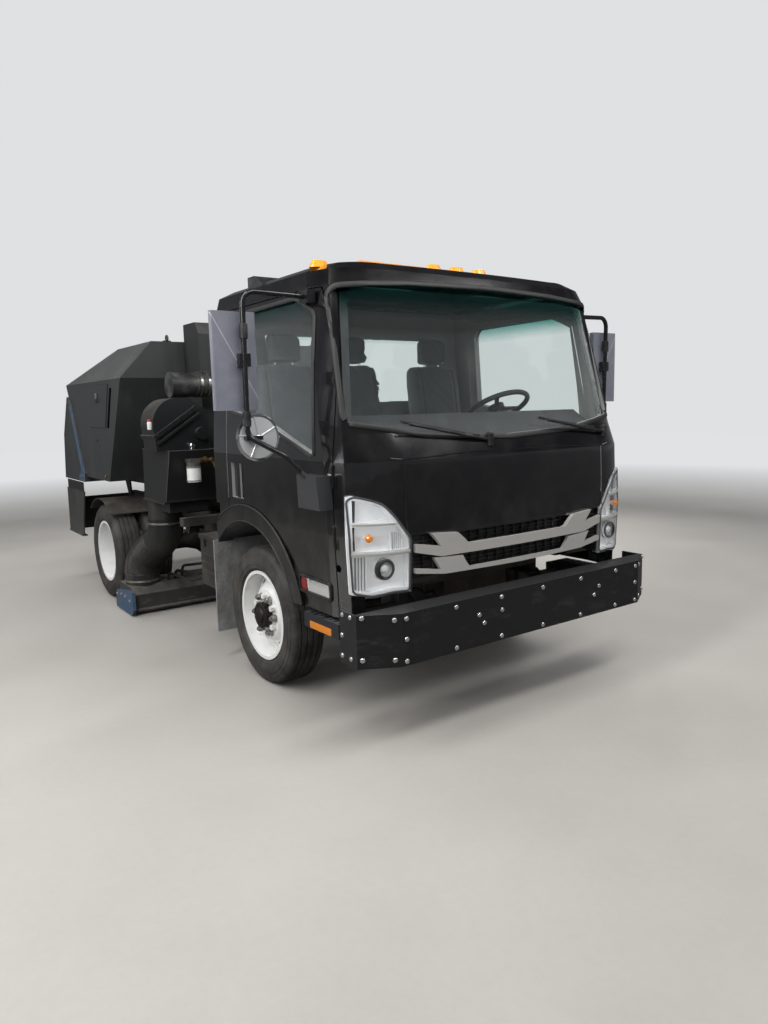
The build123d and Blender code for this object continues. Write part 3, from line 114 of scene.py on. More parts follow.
class Paint:
    slots = {}

    def __init__(self, name, slot=None, tree=None):
        if tree is None:
            self.material = bpy.data.materials.new(name)
            self.slots[self.material.name] = slot
            self.material.use_nodes = True
            tree = self.material.node_tree
            tree.nodes.clear()
            self.shader = tree.nodes.new("ShaderNodeBsdfPrincipled")
            out = tree.nodes.new("ShaderNodeOutputMaterial")
            tree.links.new(self.shader.outputs[0], out.inputs["Surface"])
        self.tree = tree

    def put(self, socket, value):
        """Link a wire to a socket, or set the socket to a plain value."""
        if isinstance(value, Wire):
            self.tree.links.new(value.socket, socket)
        elif isinstance(value, tuple) and socket.type == "RGBA":
            socket.default_value = (*value, 1.0)
        elif value is not None:
            socket.default_value = value

    def add(self, kind, settings=None, values=(), output=0):
        """A node of a kind: its settings first, then its sockets by place or by name."""
        made = self.tree.nodes.new(kind)
        for key, value in (settings or {}).items():
            setattr(made, key, value)
        for key, value in values.items() if isinstance(values, dict) else enumerate(values):
            self.put(made.inputs[key], value)
        return Wire(self, made.outputs[output])

    def math_of(self, operation, *values):
        return self.add("ShaderNodeMath", {"operation": operation}, values)

    def at(self, kind="Object"):
        """A point's own place in metres, or its Normal."""
        return self.add("ShaderNodeTexCoord", output=kind)

    def place(self, axis):
        """A point's own x, y or z in metres."""
        return self.add("ShaderNodeSeparateXYZ", None, (self.at(),), axis)

    def off_middle(self):
        """How far a point is from the truck's middle plane, on either side."""
        return self.math_of("ABSOLUTE", self.place("X"))

    def ray(self, kind):
        """1 for a ray of this kind, and 0 for any other."""
        return self.add("ShaderNodeLightPath", output=f"Is {kind} Ray")

    def noise(self, scale, detail, rough, stretch=None):
        """Cloudy noise about 0.5, in cycles per metre; stretch multiplies it along x, y and z."""
        at = self.at()
        if stretch:
            at = self.add("ShaderNodeVectorMath", {"operation": "MULTIPLY"}, (at, stretch))
        return self.add("ShaderNodeTexNoise", None,
                        {"Vector": at, "Scale": scale, "Detail": detail, "Roughness": rough})

    def spread(self, value, low, high):
        """How far a value has come from low to high, held between 0 and 1."""
        return self.add("ShaderNodeMapRange", {"clamp": True}, (value, low, high, 0.0, 1.0))

    def patches(self, low, high, *noise):
        """Patches of a noise: 0 where it is below low, and 1 where it is above high."""
        return self.spread(self.noise(*noise), low, high)

    def blend(self, share, low, high):
        """A colour between low and high."""
        return self.add("ShaderNodeMix", {"data_type": "RGBA"}, {0: share, 6: low, 7: high}, output=2)

    def bump(self, height, distance, strength=1.0, under=None):
        """A normal for relief of this height, over any finer relief under it."""
        return self.add("ShaderNodeBump", None,
                        {"Strength": strength, "Distance": distance, "Height": height, "Normal": under})

    def pitted(self, distance, *noise):
        """A normal for fine relief in the shape of a noise."""
        return self.bump(self.noise(*noise), distance)

    def facing_up(self):
        """1 on a surface that faces up and 0 on a wall, where dust can't settle."""
        normal = self.add("ShaderNodeNewGeometry", output="Normal")
        return self.add("ShaderNodeSeparateXYZ", None, (normal,), "Z").clamp()

    def finish(self, **sockets):
        """The material, with its surface's sockets given by name."""
        for key, value in sockets.items():
            self.put(self.shader.inputs[key.replace("_", " ")], value)
        return self.material


PALE = (0.74, 0.75, 0.76)
# What the paint's gloss sees low down and overhead, and what lights dull surfaces
WALL_IN_GLOSS, ROOF_IN_GLOSS, SOFT_LIGHT = (0.20, 0.205, 0.215), (0.025, 0.025, 0.03), (0.56, 0.57, 0.585)
world = bpy.data.worlds.new("room")
bpy.context.scene.world = world
world.use_nodes = True
world.node_tree.nodes.clear()
air = Paint("room", tree=world.node_tree)
diffuse_ray, mirror_ray = air.ray("Diffuse"), air.ray("Reflection")
way_up = air.add("ShaderNodeSeparateXYZ", None, (air.at("Generated"),), "Z")
dome = air.blend(air.spread(way_up, -0.05, 0.5), WALL_IN_GLOSS, ROOF_IN_GLOSS)
seen = air.blend(mirror_ray * (1.0 - diffuse_ray), PALE, dome)
shine = air.add("ShaderNodeBackground", None,
                {"Color": air.blend(diffuse_ray, seen, SOFT_LIGHT), "Strength": 1.0})
room_out = world.node_tree.nodes.new("ShaderNodeOutputWorld")
world.node_tree.links.new(shine.socket, room_out.inputs["Surface"])

# Each row: x, y, height, width, length in metres, watts, whether gloss shows it
LAMP_ROWS = ((-3.4, -2.6, 4.2, 0.7, 5.0, 170, True), (0.6, -4.6, 4.6, 5.0, 0.8, 150, True),
             (3.6, 0.8, 4.2, 0.7, 6.0, 150, False), (-1.0, 4.6, 4.4, 5.0, 0.8, 110, False),
             (-5.2, 1.6, 3.0, 0.5, 4.0, 90, True))
LAMPS_AIM = Vector((0, 0, 1))
for x, y, height, width, length, watts, glossy in LAMP_ROWS:
    tube_lamp = bpy.data.lights.new("lamp", "AREA")
    tube_lamp.shape = "RECTANGLE"
    tube_lamp.size = width
    tube_lamp.size_y = length
    tube_lamp.energy = watts
    lamp = bpy.data.objects.new("lamp", tube_lamp)
    lamp.location = (x, y, height)
    lamp.visible_glossy = glossy
    lamp.visible_transmission = False
    lamp.rotation_euler = (LAMPS_AIM - lamp.location).to_track_quat("-Z", "Y").to_euler()
    bpy.context.scene.collection.objects.link(lamp)

# The floor is pale trowelled concrete: faint clouds, and a soft shine. Gloss shows it darker, as it
# would show the lower part of a room, and far off it fades into the pale room.
SHARP = math.radians(35)


def skin(name, points, faces, material, smooth=SHARP):
    """A mesh from its points and faces, smooth across edges that turn less than the angle."""
    mesh = bpy.data.meshes.new(name)
    mesh.from_pydata([tuple(point) for point in points], [], faces)
    mesh.validate()
    shell = bmesh.new()
    shell.from_mesh(mesh)
    bmesh.ops.recalc_face_normals(shell, faces=shell.faces)
    for face in shell.faces:
        face.smooth = True
    for edge in shell.edges:
        edge.smooth = len(edge.link_faces) == 2 and edge.calc_face_angle(0) < smooth
    shell.to_mesh(mesh)
    shell.free()
    mesh.materials.append(material)
    piece = bpy.data.objects.new(name, mesh)
    bpy.context.scene.collection.objects.link(piece)
    return piece


FLOOR_REACH, FADE_FROM, FADE_TO = 30, 7.0, 15.0
floor = Paint("floor")
clouds = floor.noise(0.9, 6, 0.6)
grain = floor.noise(26, 5, 0.7)
sealer = floor.blend(clouds * 0.7 + grain * 0.3, (0.36, 0.34, 0.31), (0.52, 0.50, 0.465))
across, along = floor.place("X"), floor.place("Y")
far = floor.spread(floor.math_of("SQRT", across * across + along * along), FADE_FROM, FADE_TO)
mirrored = floor.ray("Reflection")
sealer = floor.blend(mirrored * 0.75, sealer, (0.03, 0.027, 0.023))
concrete = floor.finish(
    Base_Color=floor.blend(far, sealer, (0, 0, 0)), Roughness=0.30 + clouds * 0.22 + far,
    Emission_Color=floor.blend(far * (1.0 - mirrored * 0.88), (0, 0, 0), PALE), Emission_Strength=1.0,
    Normal=floor.bump(grain, 0.0006))
floor_corners = [(x, y, 0) for x in (-FLOOR_REACH, FLOOR_REACH) for y in (-FLOOR_REACH, FLOOR_REACH)]
skin("floor", floor_corners, [(0, 1, 3, 2)], concrete)


# Chassis: pressed steel rails, axles, springs and brackets in dull black, with road dirt that
# lies thickest low down and on upward faces. They are riveted, and painted before assembly.
def coat(piece_names, material):
    """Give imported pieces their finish."""
    for piece_name in piece_names.split():
        mesh = node[piece_name].data
        mesh.materials.clear()
        mesh.materials.append(material)


DIRT = (0.105, 0.088, 0.068)
DUST = (0.21, 0.20, 0.185)


def road_dirt(paint, low, high, amount):
    """How much dried road dirt lies on a surface: all of it at height low, and none at high."""
    depth = paint.spread(paint.place("Z"), high, low)
    blotch = paint.patches(0.38, 0.66, 4.5, 7, 0.7)
    film = paint.patches(0.35, 0.75, 38, 4, 0.7)
    return (blotch * depth * amount + film * depth * 0.35 + paint.facing_up() * blotch * 0.35).clamp()


def dull_black(name, colour, dirt=0.8, rough=0.55, low=0.2, high=1.4, slot=None):
    """Thin dull paint or rubber under road dirt."""
    paint = Paint(name, slot)
    mask = road_dirt(paint, low, high, dirt)
    pits = paint.noise(150, 3, 0.6)
    return paint.finish(Base_Color=paint.blend(mask, colour, DIRT), Roughness=rough + mask * 0.3,
                        Normal=paint.bump(pits * 0.3 + mask * 0.7, 0.0012))


coat("frame cab_mounts module_frame tie_rod drive_shaft", dull_black("chassis_black", (0.014, 0.014, 0.014)))
spring_steel = dull_black("spring_steel", (0.022, 0.019, 0.016), 1.0, 0.6, 0.3, 1.0)
coat("leaf_springs exhaust", spring_steel)
iron = Paint("cast_iron")
cast_dirt = road_dirt(iron, 0.2, 1.2, 1.0)
rust = iron.patches(0.5, 0.72, 9, 6, 0.65)
bare_iron = iron.blend(rust, (0.035, 0.033, 0.031), (0.085, 0.04, 0.02))
cast_iron = iron.finish(Base_Color=iron.blend(cast_dirt, bare_iron, DIRT), Metallic=0.35,
                        Roughness=0.62 + cast_dirt * 0.25, Normal=iron.pitted(0.0015, 210, 4, 0.7))
coat("front_axle rear_axle knuckle_left knuckle_right engine aux_engine", cast_iron)

# Tyres: moulded rubber, with five ribs between four zigzag grooves, siped shoulders, rings on
# the side walls, and no lettering. They are pressed onto the rims.
tyre_low, tyre_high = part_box("front_tyre_right")
TYRE_HALF = (tyre_high.x - tyre_low.x) / 2
TYRE_RADIUS = AXLE.z
TREAD_HALF = TYRE_HALF - 0.034
GROOVE_DEEP, GROOVE_HALF = 0.0095, 0.0042
GROOVES = (-0.056, -0.019, 0.019, 0.056)
ZIGZAG, SIPE_DEEP, CROWN_DROP = 0.0017, 0.004, 0.0006
TREAD_STEPS = 168
TYRE_EDGE = math.radians(38)
# Offset from the middle and radius of the side wall's points, from the bead out to the shoulder
SIDE_WALL = ((0.082, 0.265), (0.094, 0.272), (0.099, 0.2795), (0.103, 0.281), (0.106, 0.290),
             (0.1095, 0.305), (0.1115, 0.3055), (0.1128, 0.316), (0.1128, 0.330), (0.1110, 0.3445),
             (0.1092, 0.345), (0.1078, 0.356), (0.1058, 0.369), (0.1038, 0.3695), (0.1012, 0.380),
             (0.097, 0.389), (0.092, 0.3955), (0.087, 0.400))

rubber = Paint("tyre_rubber", "tyre_rubber")
wear_dust = rubber.patches(0.35, 0.7, 7, 6, 0.65)
fine = rubber.noise(90, 4, 0.7)
tyre_rubber = rubber.finish(
    Base_Color=rubber.blend(wear_dust * 0.75 + fine * 0.2, (0.014, 0.014, 0.014), (0.088, 0.080, 0.069)),
    Roughness=0.62 + fine * 0.2, Normal=rubber.bump(fine, 0.0007))


def wheel_centres(tyres):
    """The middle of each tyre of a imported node, and which way is outboard."""
    low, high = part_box(tyres)
    way = 1 if low.x + high.x > 0 else -1
    y, z = (low.y + high.y) / 2, (low.z + high.z) / 2
    ends = {round(low.x + TYRE_HALF, 4), round(high.x - TYRE_HALF, 4)}
    return [(Vector((x, y, z)), way) for x in sorted(ends, key=abs, reverse=True)]


def net(rows, count, ring=False, closed=False):
    """The faces between rows of points, count in each. ring joins the last row to the first, and
    closed joins the ends of each row."""
    faces = []
    for row in range(rows if ring else rows - 1):
        here, following = row * count, (row + 1) % rows * count
        for i in range(count if closed else count - 1):
            j = (i + 1) % count
            faces.append((here + i, here + j, following + j, following + i))
    return faces


def tyre(centre):
    """Points and faces of a tyre: its outline, turned about the axle step by step."""
    crown = [(-TREAD_HALF, TYRE_RADIUS - CROWN_DROP, "edge")]
    for groove in GROOVES:
        for share, drop in ((-1, 0), (-0.6, GROOVE_DEEP), (0.6, GROOVE_DEEP), (1, 0)):
            crown.append((groove + GROOVE_HALF * share, TYRE_RADIUS - drop, "groove"))
    crown.append((TREAD_HALF, TYRE_RADIUS - CROWN_DROP, "edge"))
    inner = [(-x, r, "wall") for x, r in SIDE_WALL]
    outer = [(x, r, "wall") for x, r in reversed(SIDE_WALL)]
    outline = inner + crown + outer
    points = []
    for step in range(TREAD_STEPS):
        angle = 2 * math.pi * step / TREAD_STEPS
        shove = ZIGZAG if step // 2 % 2 else -ZIGZAG
        for x, r, kind in outline:
            if kind == "groove":
                x += shove
            if kind == "edge" and step % 4 == 0:
                r -= SIPE_DEEP
            points.append(centre + Vector((x, r * math.cos(angle), r * math.sin(angle))))
    return points, net(TREAD_STEPS, len(outline), True, True)


def gathered(parts):
    """One set of points and faces from several."""
    points, faces = [], []
    for part_points, part_faces in parts:
        start = len(points)
        points += part_points
        faces += [tuple(start + i for i in face) for face in part_faces]
    return points, faces


def fitted(name, parts, material, body, smooth=SHARP):
    """Parts made as one piece that rides on a body."""
    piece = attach(skin(name, *gathered(parts), material, smooth), body)
    return piece


WHEEL_SETS = (("front_tyre_right", "front_wheel_right", "wheel_front_right"),
              ("front_tyre_left", "front_wheel_left", "wheel_front_left"),
              ("rear_tyres_right", "rear_wheels_right", "wheels_rear_right"),
              ("rear_tyres_left", "rear_wheels_left", "wheels_rear_left"))
for tyres, _, body in WHEEL_SETS:
    for count, (centre, _) in enumerate(wheel_centres(tyres)):
        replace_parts(fitted(f"{tyres}_{count}", [tyre(centre)], tyre_rubber, body, TYRE_EDGE), tyres)

# Wheels: pressed steel in white enamel, six zinc-plated nuts on studs, and a greasy hub cap with
# small screws. The enamel is chipped in places and stained with brake dust.
enamel = Paint("wheel_enamel")
grime = enamel.patches(0.52, 0.78, 14, 6, 0.7)
chips = enamel.patches(0.70, 0.74, 60, 3, 0.5)
dusty_enamel = enamel.blend(grime * 0.55, (0.80, 0.80, 0.78), (0.30, 0.26, 0.21))
wheel_enamel = enamel.finish(
    Base_Color=enamel.blend(chips * 0.8, dusty_enamel, (0.12, 0.06, 0.03)),
    Roughness=0.22 + grime * 0.4, Normal=enamel.pitted(0.0006, 25, 4, 0.5))
grease = Paint("hub_grease", "cast_metal")
smear = grease.noise(30, 5, 0.7)
hub_grease = grease.finish(
    Base_Color=grease.blend(smear, (0.008, 0.008, 0.008), (0.05, 0.042, 0.034)), Metallic=0.6,
    Roughness=0.35 + smear * 0.3, Normal=grease.bump(smear, 0.002))
zinc = Paint("zinc_nuts", "steel")
tarnish = zinc.patches(0.4, 0.7, 45, 4, 0.6)
zinc_nuts = zinc.finish(
    Base_Color=zinc.blend(tarnish, (0.42, 0.41, 0.39), (0.14, 0.11, 0.085)), Metallic=0.9,
    Roughness=0.34 + tarnish * 0.3, Normal=zinc.pitted(0.0004, 190, 2, 0.5))


def lathe(outline, base, axis, steps, facets=None):
    """Points and faces of an outline of (radius, height), turned about an axis through base.
    facets is how many flat sides the points with a third entry have, where any isn't round."""
    axis = axis.normalized()
    side = axis.orthogonal().normalized()
    across = axis.cross(side)
    points = []
    for step in range(steps):
        angle = 2 * math.pi * step / steps
        flat = 1.0
        if facets:
            sector = math.pi / facets
            flat = math.cos(sector) / math.cos((angle % (2 * sector)) - sector)
        for entry in outline:
            radius = entry[0] * (flat if len(entry) > 2 else 1)
            out = side * math.cos(angle) + across * math.sin(angle)
            points.append(base + axis * entry[1] + out * radius)
    return points, net(steps, len(outline), True)


# Radius and height, with the third entry where it is hexagonal: washer, nut, chamfer, stud
WHEEL_NUT = ((0.0, 0.0), (0.023, 0.0), (0.023, 0.005), (0.0205, 0.0055, 1), (0.0205, 0.026, 1),
             (0.0165, 0.029), (0.0115, 0.029), (0.0115, 0.038), (0.0095, 0.040), (0.0, 0.040))
NUT_CIRCLE, NUT_COUNT = 0.111, 6
# The hub's cap: a machined drum, a domed grease cap and a ring of small screws
HUB_CAP = ((0.0765, 0.0), (0.0765, 0.040), (0.072, 0.0435), (0.050, 0.0435), (0.048, 0.047),
           (0.042, 0.055), (0.024, 0.060), (0.0, 0.061))
CAP_SCREW = ((0.006, 0), (0.006, 0.0045), (0.0045, 0.006), (0, 0.006))
SCREW_CIRCLE, SCREW_COUNT, SCREW_SEAT = 0.062, 8, 0.0425
# How far outboard of the tyre's middle the nuts bear, and of the nuts the cap's foot is
FRONT_FACE, REAR_FACE = 0.062, -0.119
FRONT_CAP, REAR_CAP = 0.002, 0.058


def ring_place(share, radius):
    """A place on a circle about an axle, from a share of the whole turn."""
    angle = 2 * math.pi * share
    return Vector((0, math.cos(angle), math.sin(angle))) * radius


for tyres, wheels, body in WHEEL_SETS:
    coat(wheels, wheel_enamel)
    centre, way = wheel_centres(tyres)[0]
    out = Vector((way, 0, 0))
    face, cap_lift = (FRONT_FACE, FRONT_CAP) if "front" in tyres else (REAR_FACE, REAR_CAP)
    seat = centre + out * face
    nuts = [lathe(WHEEL_NUT, seat + ring_place(i / NUT_COUNT, NUT_CIRCLE), out, 36, 6)
            for i in range(NUT_COUNT)]
    fitted(f"{wheels}_nuts", nuts, zinc_nuts, body)
    cap = [lathe(HUB_CAP, seat + out * cap_lift, out, 64)]
    screw_seat = seat + out * (cap_lift + SCREW_SEAT)
    cap += [lathe(CAP_SCREW, screw_seat + ring_place((i + 0.5) / SCREW_COUNT, SCREW_CIRCLE), out, 6)
            for i in range(SCREW_COUNT)]
    fitted(f"{wheels}_hub_cap", cap, hub_grease, body)

# Front bumper: folded plate, shop-made and bolted on with rows of bright round-head bolts. Its
# satin black is scuffed at the edges, with a faint rolled texture under it.
plate = Paint("bumper_black")
scuff = plate.patches(0.55, 0.75, 5, 8, 0.75, (1, 1, 3))
pale_share = scuff * 0.5 + plate.facing_up() * 0.25
rolled = plate.noise(55, 5, 0.65)
coat("front_bumper", plate.finish(
    Base_Color=plate.blend(pale_share, (0.010, 0.010, 0.011), (0.07, 0.069, 0.067)),
    Roughness=0.34 + rolled * 0.16 + scuff * 0.15,
    Normal=plate.bump(rolled + plate.noise(3, 2, 0.5) * 2, 0.0013)))
bright = Paint("bright_bolts", "steel")
bolt_dirt = bright.patches(0.45, 0.75, 80, 3, 0.6)
bright_bolts = bright.finish(
    Base_Color=bright.blend(bolt_dirt, (0.74, 0.74, 0.73), (0.32, 0.30, 0.27)), Metallic=0.85,
    Roughness=0.2 + bolt_dirt * 0.35, Normal=bright.pitted(0.0004, 140, 2, 0.5))

ROUND_HEAD = ((0.0125, 0.0), (0.0125, 0.001), (0.0105, 0.0044), (0.0068, 0.0064), (0.0, 0.0072))
bumper_low, bumper_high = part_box("front_bumper")
FACE_Y = bumper_low.y
SIDE_X = bumper_high.x
BUMPER_FLAT, BUMPER_BEND = 0.865, FACE_Y + 0.100
BOLT_STEP, BOLT_START = 0.299, -0.838
BOLT_ROWS = (0.652, 0.452)
AHEAD, BACK, UP, LEFT = Vector((0, -1, 0)), Vector((0, 1, 0)), Vector((0, 0, 1)), Vector((1, 0, 0))
# x and z of the bolts that hold the inner ribs
RIB_BOLTS = ((-0.837, 0.556), (-0.391, 0.587), (-0.358, 0.541), (-0.237, 0.585), (0.512, 0.587),
             (0.473, 0.542), (0.837, 0.556))
# On each end: share of the way along its bend and z, then y behind the axle and z on its side
END_BOLTS = ((0.16, 0.652), (0.16, 0.465), (0.88, 0.668), (0.88, 0.472))
SIDE_BOLTS = ((-1.141, 0.663), (-1.075, 0.663), (-1.070, 0.566), (-1.068, 0.468), (-1.141, 0.468))
row = [BOLT_START + BOLT_STEP * i for i in range(6)] + [-BOLT_START]
heads = [(Vector((x, FACE_Y, z)), AHEAD) for z in BOLT_ROWS for x in row]
heads += [(Vector((x, FACE_Y, z)), AHEAD) for x, z in RIB_BOLTS]
for way in (-1, 1):
    end = Vector((SIDE_X - BUMPER_FLAT, BUMPER_BEND - FACE_Y, 0))
    out = Vector((end.y * way, -end.x, 0)).normalized()
    for share, z in END_BOLTS:
        heads.append((Vector((way * (BUMPER_FLAT + end.x * share), FACE_Y + end.y * share, z)), out))
    for y, z in SIDE_BOLTS:
        heads.append((Vector((way * SIDE_X, AXLE.y + y, z)), LEFT * way))
fitted("bumper_bolts", [lathe(ROUND_HEAD, where, out, 20) for where, out in heads], bright_bolts, "chassis")

# Cab: pressed steel panels in gloss black over the whole outside. A thin grey film of dust dulls
# the clear coat on its flanks and low down. Faces that look towards the cabin's middle are its
# pale trim, and the roof lining over them is painted darker as shade, since it faces down.
CABIN_MIDDLE = spot(0, -330, 1690)
TRIM_LOW, TRIM_HIGH = 1.09, 2.24
gloss = Paint("cab_gloss_black", "cab_paint")
film = gloss.patches(0.42, 0.8, 6, 7, 0.65)
height = gloss.place("Z")
dust = (film * 0.10 + gloss.spread(height, 1.15, 0.55) * film * 0.5).clamp()
arm = gloss.add("ShaderNodeVectorMath", {"operation": "SUBTRACT"}, (gloss.at(), tuple(CABIN_MIDDLE)))
facing = (gloss.at("Normal"), arm)
outward = gloss.add("ShaderNodeVectorMath", {"operation": "DOT_PRODUCT"}, facing, "Value")
trim = (outward < -0.02) * (height > TRIM_LOW) * (height < TRIM_HIGH)
# Higher up the trim turns darker: painted shade on the roof lining, which faces down
trim_and_painted_roof_shade = gloss.blend(gloss.spread(height, 2.06, 2.14), (0.30, 0.30, 0.295), (0.09, 0.09, 0.09))
enamel_black = gloss.blend(dust, (0.0035, 0.0035, 0.0042), (0.085, 0.08, 0.072))
cab_gloss = gloss.finish(
    Base_Color=gloss.blend(trim, enamel_black, trim_and_painted_roof_shade), Roughness=0.14 + dust * 0.7 + trim * 0.5,
    Coat_Weight=(1.0 - dust) * (1.0 - trim), Coat_Roughness=0.03,
    Normal=gloss.bump(gloss.noise(1.6, 2, 0.4), 0.0015, 0.5))
coat("cab_shell door_left door_right", cab_gloss)


# Seals: black rubber round each pane, extruded and pushed over the panels' edges. They and the
# other trim are laid on the panels where a line from outside first meets them.
def tree_of(piece_name):
    """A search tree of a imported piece's faces."""
    mesh = node[piece_name].data
    return BVHTree.FromPolygons([v.co for v in mesh.vertices], [tuple(p.vertices) for p in mesh.polygons])


CAB_PIECES = "cab_shell door_left door_right cab_glass door_glass_left door_glass_right headlamps"
cab_faces = [tree_of(name) for name in CAB_PIECES.split()]
OUTSIDE = 1.6


def struck(start, way):
    """Where a line from start first meets the cab, and the face's normal there."""
    best = None
    for tree in cab_faces:
        place, normal, _, distance = tree.ray_cast(start, way)
        if place and (best is None or distance < best[2]):
            best = (place, normal if normal.dot(way) < 0 else -normal, distance)
    return best[:2] if best else (None, None)


def on_front(x, z):
    """A point on the cab's front."""
    return struck(Vector((x, FACE_Y - 0.5, z)), BACK)


def on_side(way, y, z):
    """A point on the cab's flank; y is in metres behind the front axle."""
    return struck(Vector((way * OUTSIDE, AXLE.y + y, z)), LEFT * -way)


# Across a strip, from one edge to the other, and how proud it stands there
STRIP_SECTION = ((-0.5, 0.0), (-0.5, 0.55), (-0.32, 1.0), (0.32, 1.0), (0.5, 0.55), (0.5, 0.0))
STRIP_LIFT = 0.0006


def ends(rows, count):
    """The faces that close a run of rows at its first and its last."""
    return [tuple(range(count)), tuple(range((rows - 1) * count, rows * count))]


def strip(name, line, width, proud, material, body, closed=False):
    """A soft-edged strip laid along (place, normal) pairs on a surface."""
    points = []
    count, size = len(line), len(STRIP_SECTION)
    for i, (place, normal) in enumerate(line):
        before = line[i - 1][0] if closed or i else place
        after = line[(i + 1) % count][0] if closed or i < count - 1 else place
        across = (after - before).cross(normal).normalized()
        for share, height in STRIP_SECTION:
            points.append(place + across * share * width + normal * (STRIP_LIFT + height * proud))
    faces = net(count, size, closed) + ([] if closed else ends(count, size))
    return fitted(name, [(points, faces)], material, body)


def even(points, step, closed=False):
    """Points spaced evenly along straight runs, so that a strip can follow a curved panel."""
    out = []
    pairs = list(zip(points, points[1:] + points[:1] if closed else points[1:]))
    for a, b in pairs:
        count = max(1, round(math.dist(a, b) / step))
        out += [tuple(p + (q - p) * i / count for p, q in zip(a, b)) for i in range(count)]
    return out if closed else out + [points[-1]]


def rounded(points, radius, closed=True, steps=5):
    """An outline with its corners rounded."""
    out = []
    count = len(points)
    for i, corner in enumerate(points):
        if not closed and i in (0, count - 1):
            out.append(corner)
            continue
        corner = Vector(corner)
        a, b = Vector(points[i - 1]), Vector(points[(i + 1) % count])
        reach = min(radius, (a - corner).length * 0.45, (b - corner).length * 0.45)
        start = corner + (a - corner).normalized() * reach
        end = corner + (b - corner).normalized() * reach
        for step in range(steps + 1):
            t = step / steps
            out.append(tuple(start * (1 - t) ** 2 + corner * 2 * t * (1 - t) + end * t ** 2))
    return out


def grown(outline, margin):
    """An outline pushed out from its middle by about a margin."""
    across, up = zip(*outline)
    middle = Vector((sum(across) / len(across), sum(up) / len(up)))
    out = []
    for point in outline:
        away = Vector(point) - middle
        out.append(tuple(middle + away * (1 + margin / away.length)))
    return out


seal = Paint("seal_rubber", "hose_rubber")
seal_rubber = seal.finish(
    Base_Color=seal.blend(seal.noise(30, 4, 0.6), (0.008, 0.008, 0.008), (0.03, 0.029, 0.027)),
    Roughness=0.48 + seal.noise(60, 3, 0.5) * 0.15, Normal=seal.pitted(0.0004, 120, 2, 0.5))
SIDES = (("right", -1), ("left", 1))
SEAL_OUT, LAY_STEP = 0.012, 0.03
SCREEN_CORNER, SCREEN_SEAL_WIDE, SCREEN_SEAL_PROUD = 0.05, 0.026, 0.006
PANE_CORNER, PANE_SEAL_WIDE, PANE_SEAL_PROUD = 0.04, 0.022, 0.005
# x and z of the windscreen's outline, and y behind the front axle and z of a door pane's
SCREEN = [(-0.934, 1.535), (-0.52, 1.468), (0, 1.448), (0.52, 1.468), (0.934, 1.535), (0.898, 2.165),
          (0.5, 2.19), (0, 2.197), (-0.5, 2.19), (-0.898, 2.165)]
SIDE_PANE = [(-0.782, 1.374), (-0.243, 1.547), (0.150, 1.600), (0.150, 2.080), (0.110, 2.128),
             (-0.560, 2.135), (-0.735, 2.058)]
screen_edge = even(rounded(grown(SCREEN, SEAL_OUT), SCREEN_CORNER), LAY_STEP, True)
screen_line = [on_front(x, z) for x, z in screen_edge]
strip("windscreen_seal", screen_line, SCREEN_SEAL_WIDE, SCREEN_SEAL_PROUD, seal_rubber, "cab", True)
pane_edge = even(rounded(grown(SIDE_PANE, SEAL_OUT), PANE_CORNER), LAY_STEP, True)
for side, way in SIDES:
    line = [on_side(way, y, z) for y, z in pane_edge]
    strip(f"door_pane_seal_{side}", line, PANE_SEAL_WIDE, PANE_SEAL_PROUD, seal_rubber, f"door_{side}", True)


# Grille and lamps: moulded panels clipped into the fascia. The silver bars have a fine satin paint,
# the slats are plain black, and the lamps are chromed units behind clear covers.
def gloss_of(name, colour, rough, metal=0.0, dirt=0.25, grain=0.0006, fine=70.0, slot=None, **more):
    """A finish with a little dust in its hollows and a fine grain."""
    paint = Paint(name, slot)
    dust_mask = paint.patches(0.45, 0.8, 11, 6, 0.65) * dirt
    pores = paint.noise(fine, 3, 0.6)
    return paint.finish(Base_Color=paint.blend(dust_mask, colour, DUST), Metallic=metal,
                        Roughness=rough + dust_mask * 0.4 + pores * 0.06,
                        Normal=paint.bump(pores, grain), **more)


black_plastic = gloss_of("black_plastic", (0.013, 0.013, 0.014), 0.42, fine=220.0, slot="black_plastic")
grey_plastic = gloss_of("grey_plastic", (0.055, 0.057, 0.062), 0.55, fine=260.0, slot="black_plastic")
silver_paint = gloss_of("silver_paint", (0.62, 0.60, 0.565), 0.32, 0.45, 0.10, 0.0003, slot="silver")
chrome = gloss_of("chrome", (0.80, 0.81, 0.82), 0.10, 1.0, 0.05, 0.0002, slot="steel")
headlamp_silver = gloss_of("headlamp_silver", (0.86, 0.865, 0.87), 0.16, 0.55, 0.04, 0.0002, slot="silver")
# The amber lens glows faintly: painted light that stands in for light coming through it
amber_glass = gloss_of("amber_lens", (0.95, 0.30, 0.02), 0.14, dirt=0.1, slot="amber",
                       Transmission_Weight=0.35, Coat_Weight=0.6,
                       Emission_Color=(1.0, 0.28, 0.02), Emission_Strength=0.05)
red_lens = gloss_of("red_lens", (0.20, 0.008, 0.008), 0.16, dirt=0.15, slot="lamp_glass", Coat_Weight=0.6)
# Clear plastic and glass let most of the lamps' light through to what is behind them
cover = Paint("clear_cover", "lamp_glass")
haze = cover.patches(0.5, 0.9, 20, 4, 0.6) * 0.04
clear_cover = cover.finish(Base_Color=(0.97, 0.98, 0.985), Roughness=haze, Transmission_Weight=1.0,
                           IOR=1.3, Alpha=1.0 - cover.ray("Shadow") * 0.85)
coat("grille", black_plastic)
coat("grille_bars", silver_paint)
coat("headlamp_units", headlamp_silver)
coat("headlamps", clear_cover)


def turned(name, outline, base, axis, steps, material, body):
    """One lathe-made piece that rides on a body."""
    return fitted(name, [lathe(outline, base, axis, steps)], material, body)


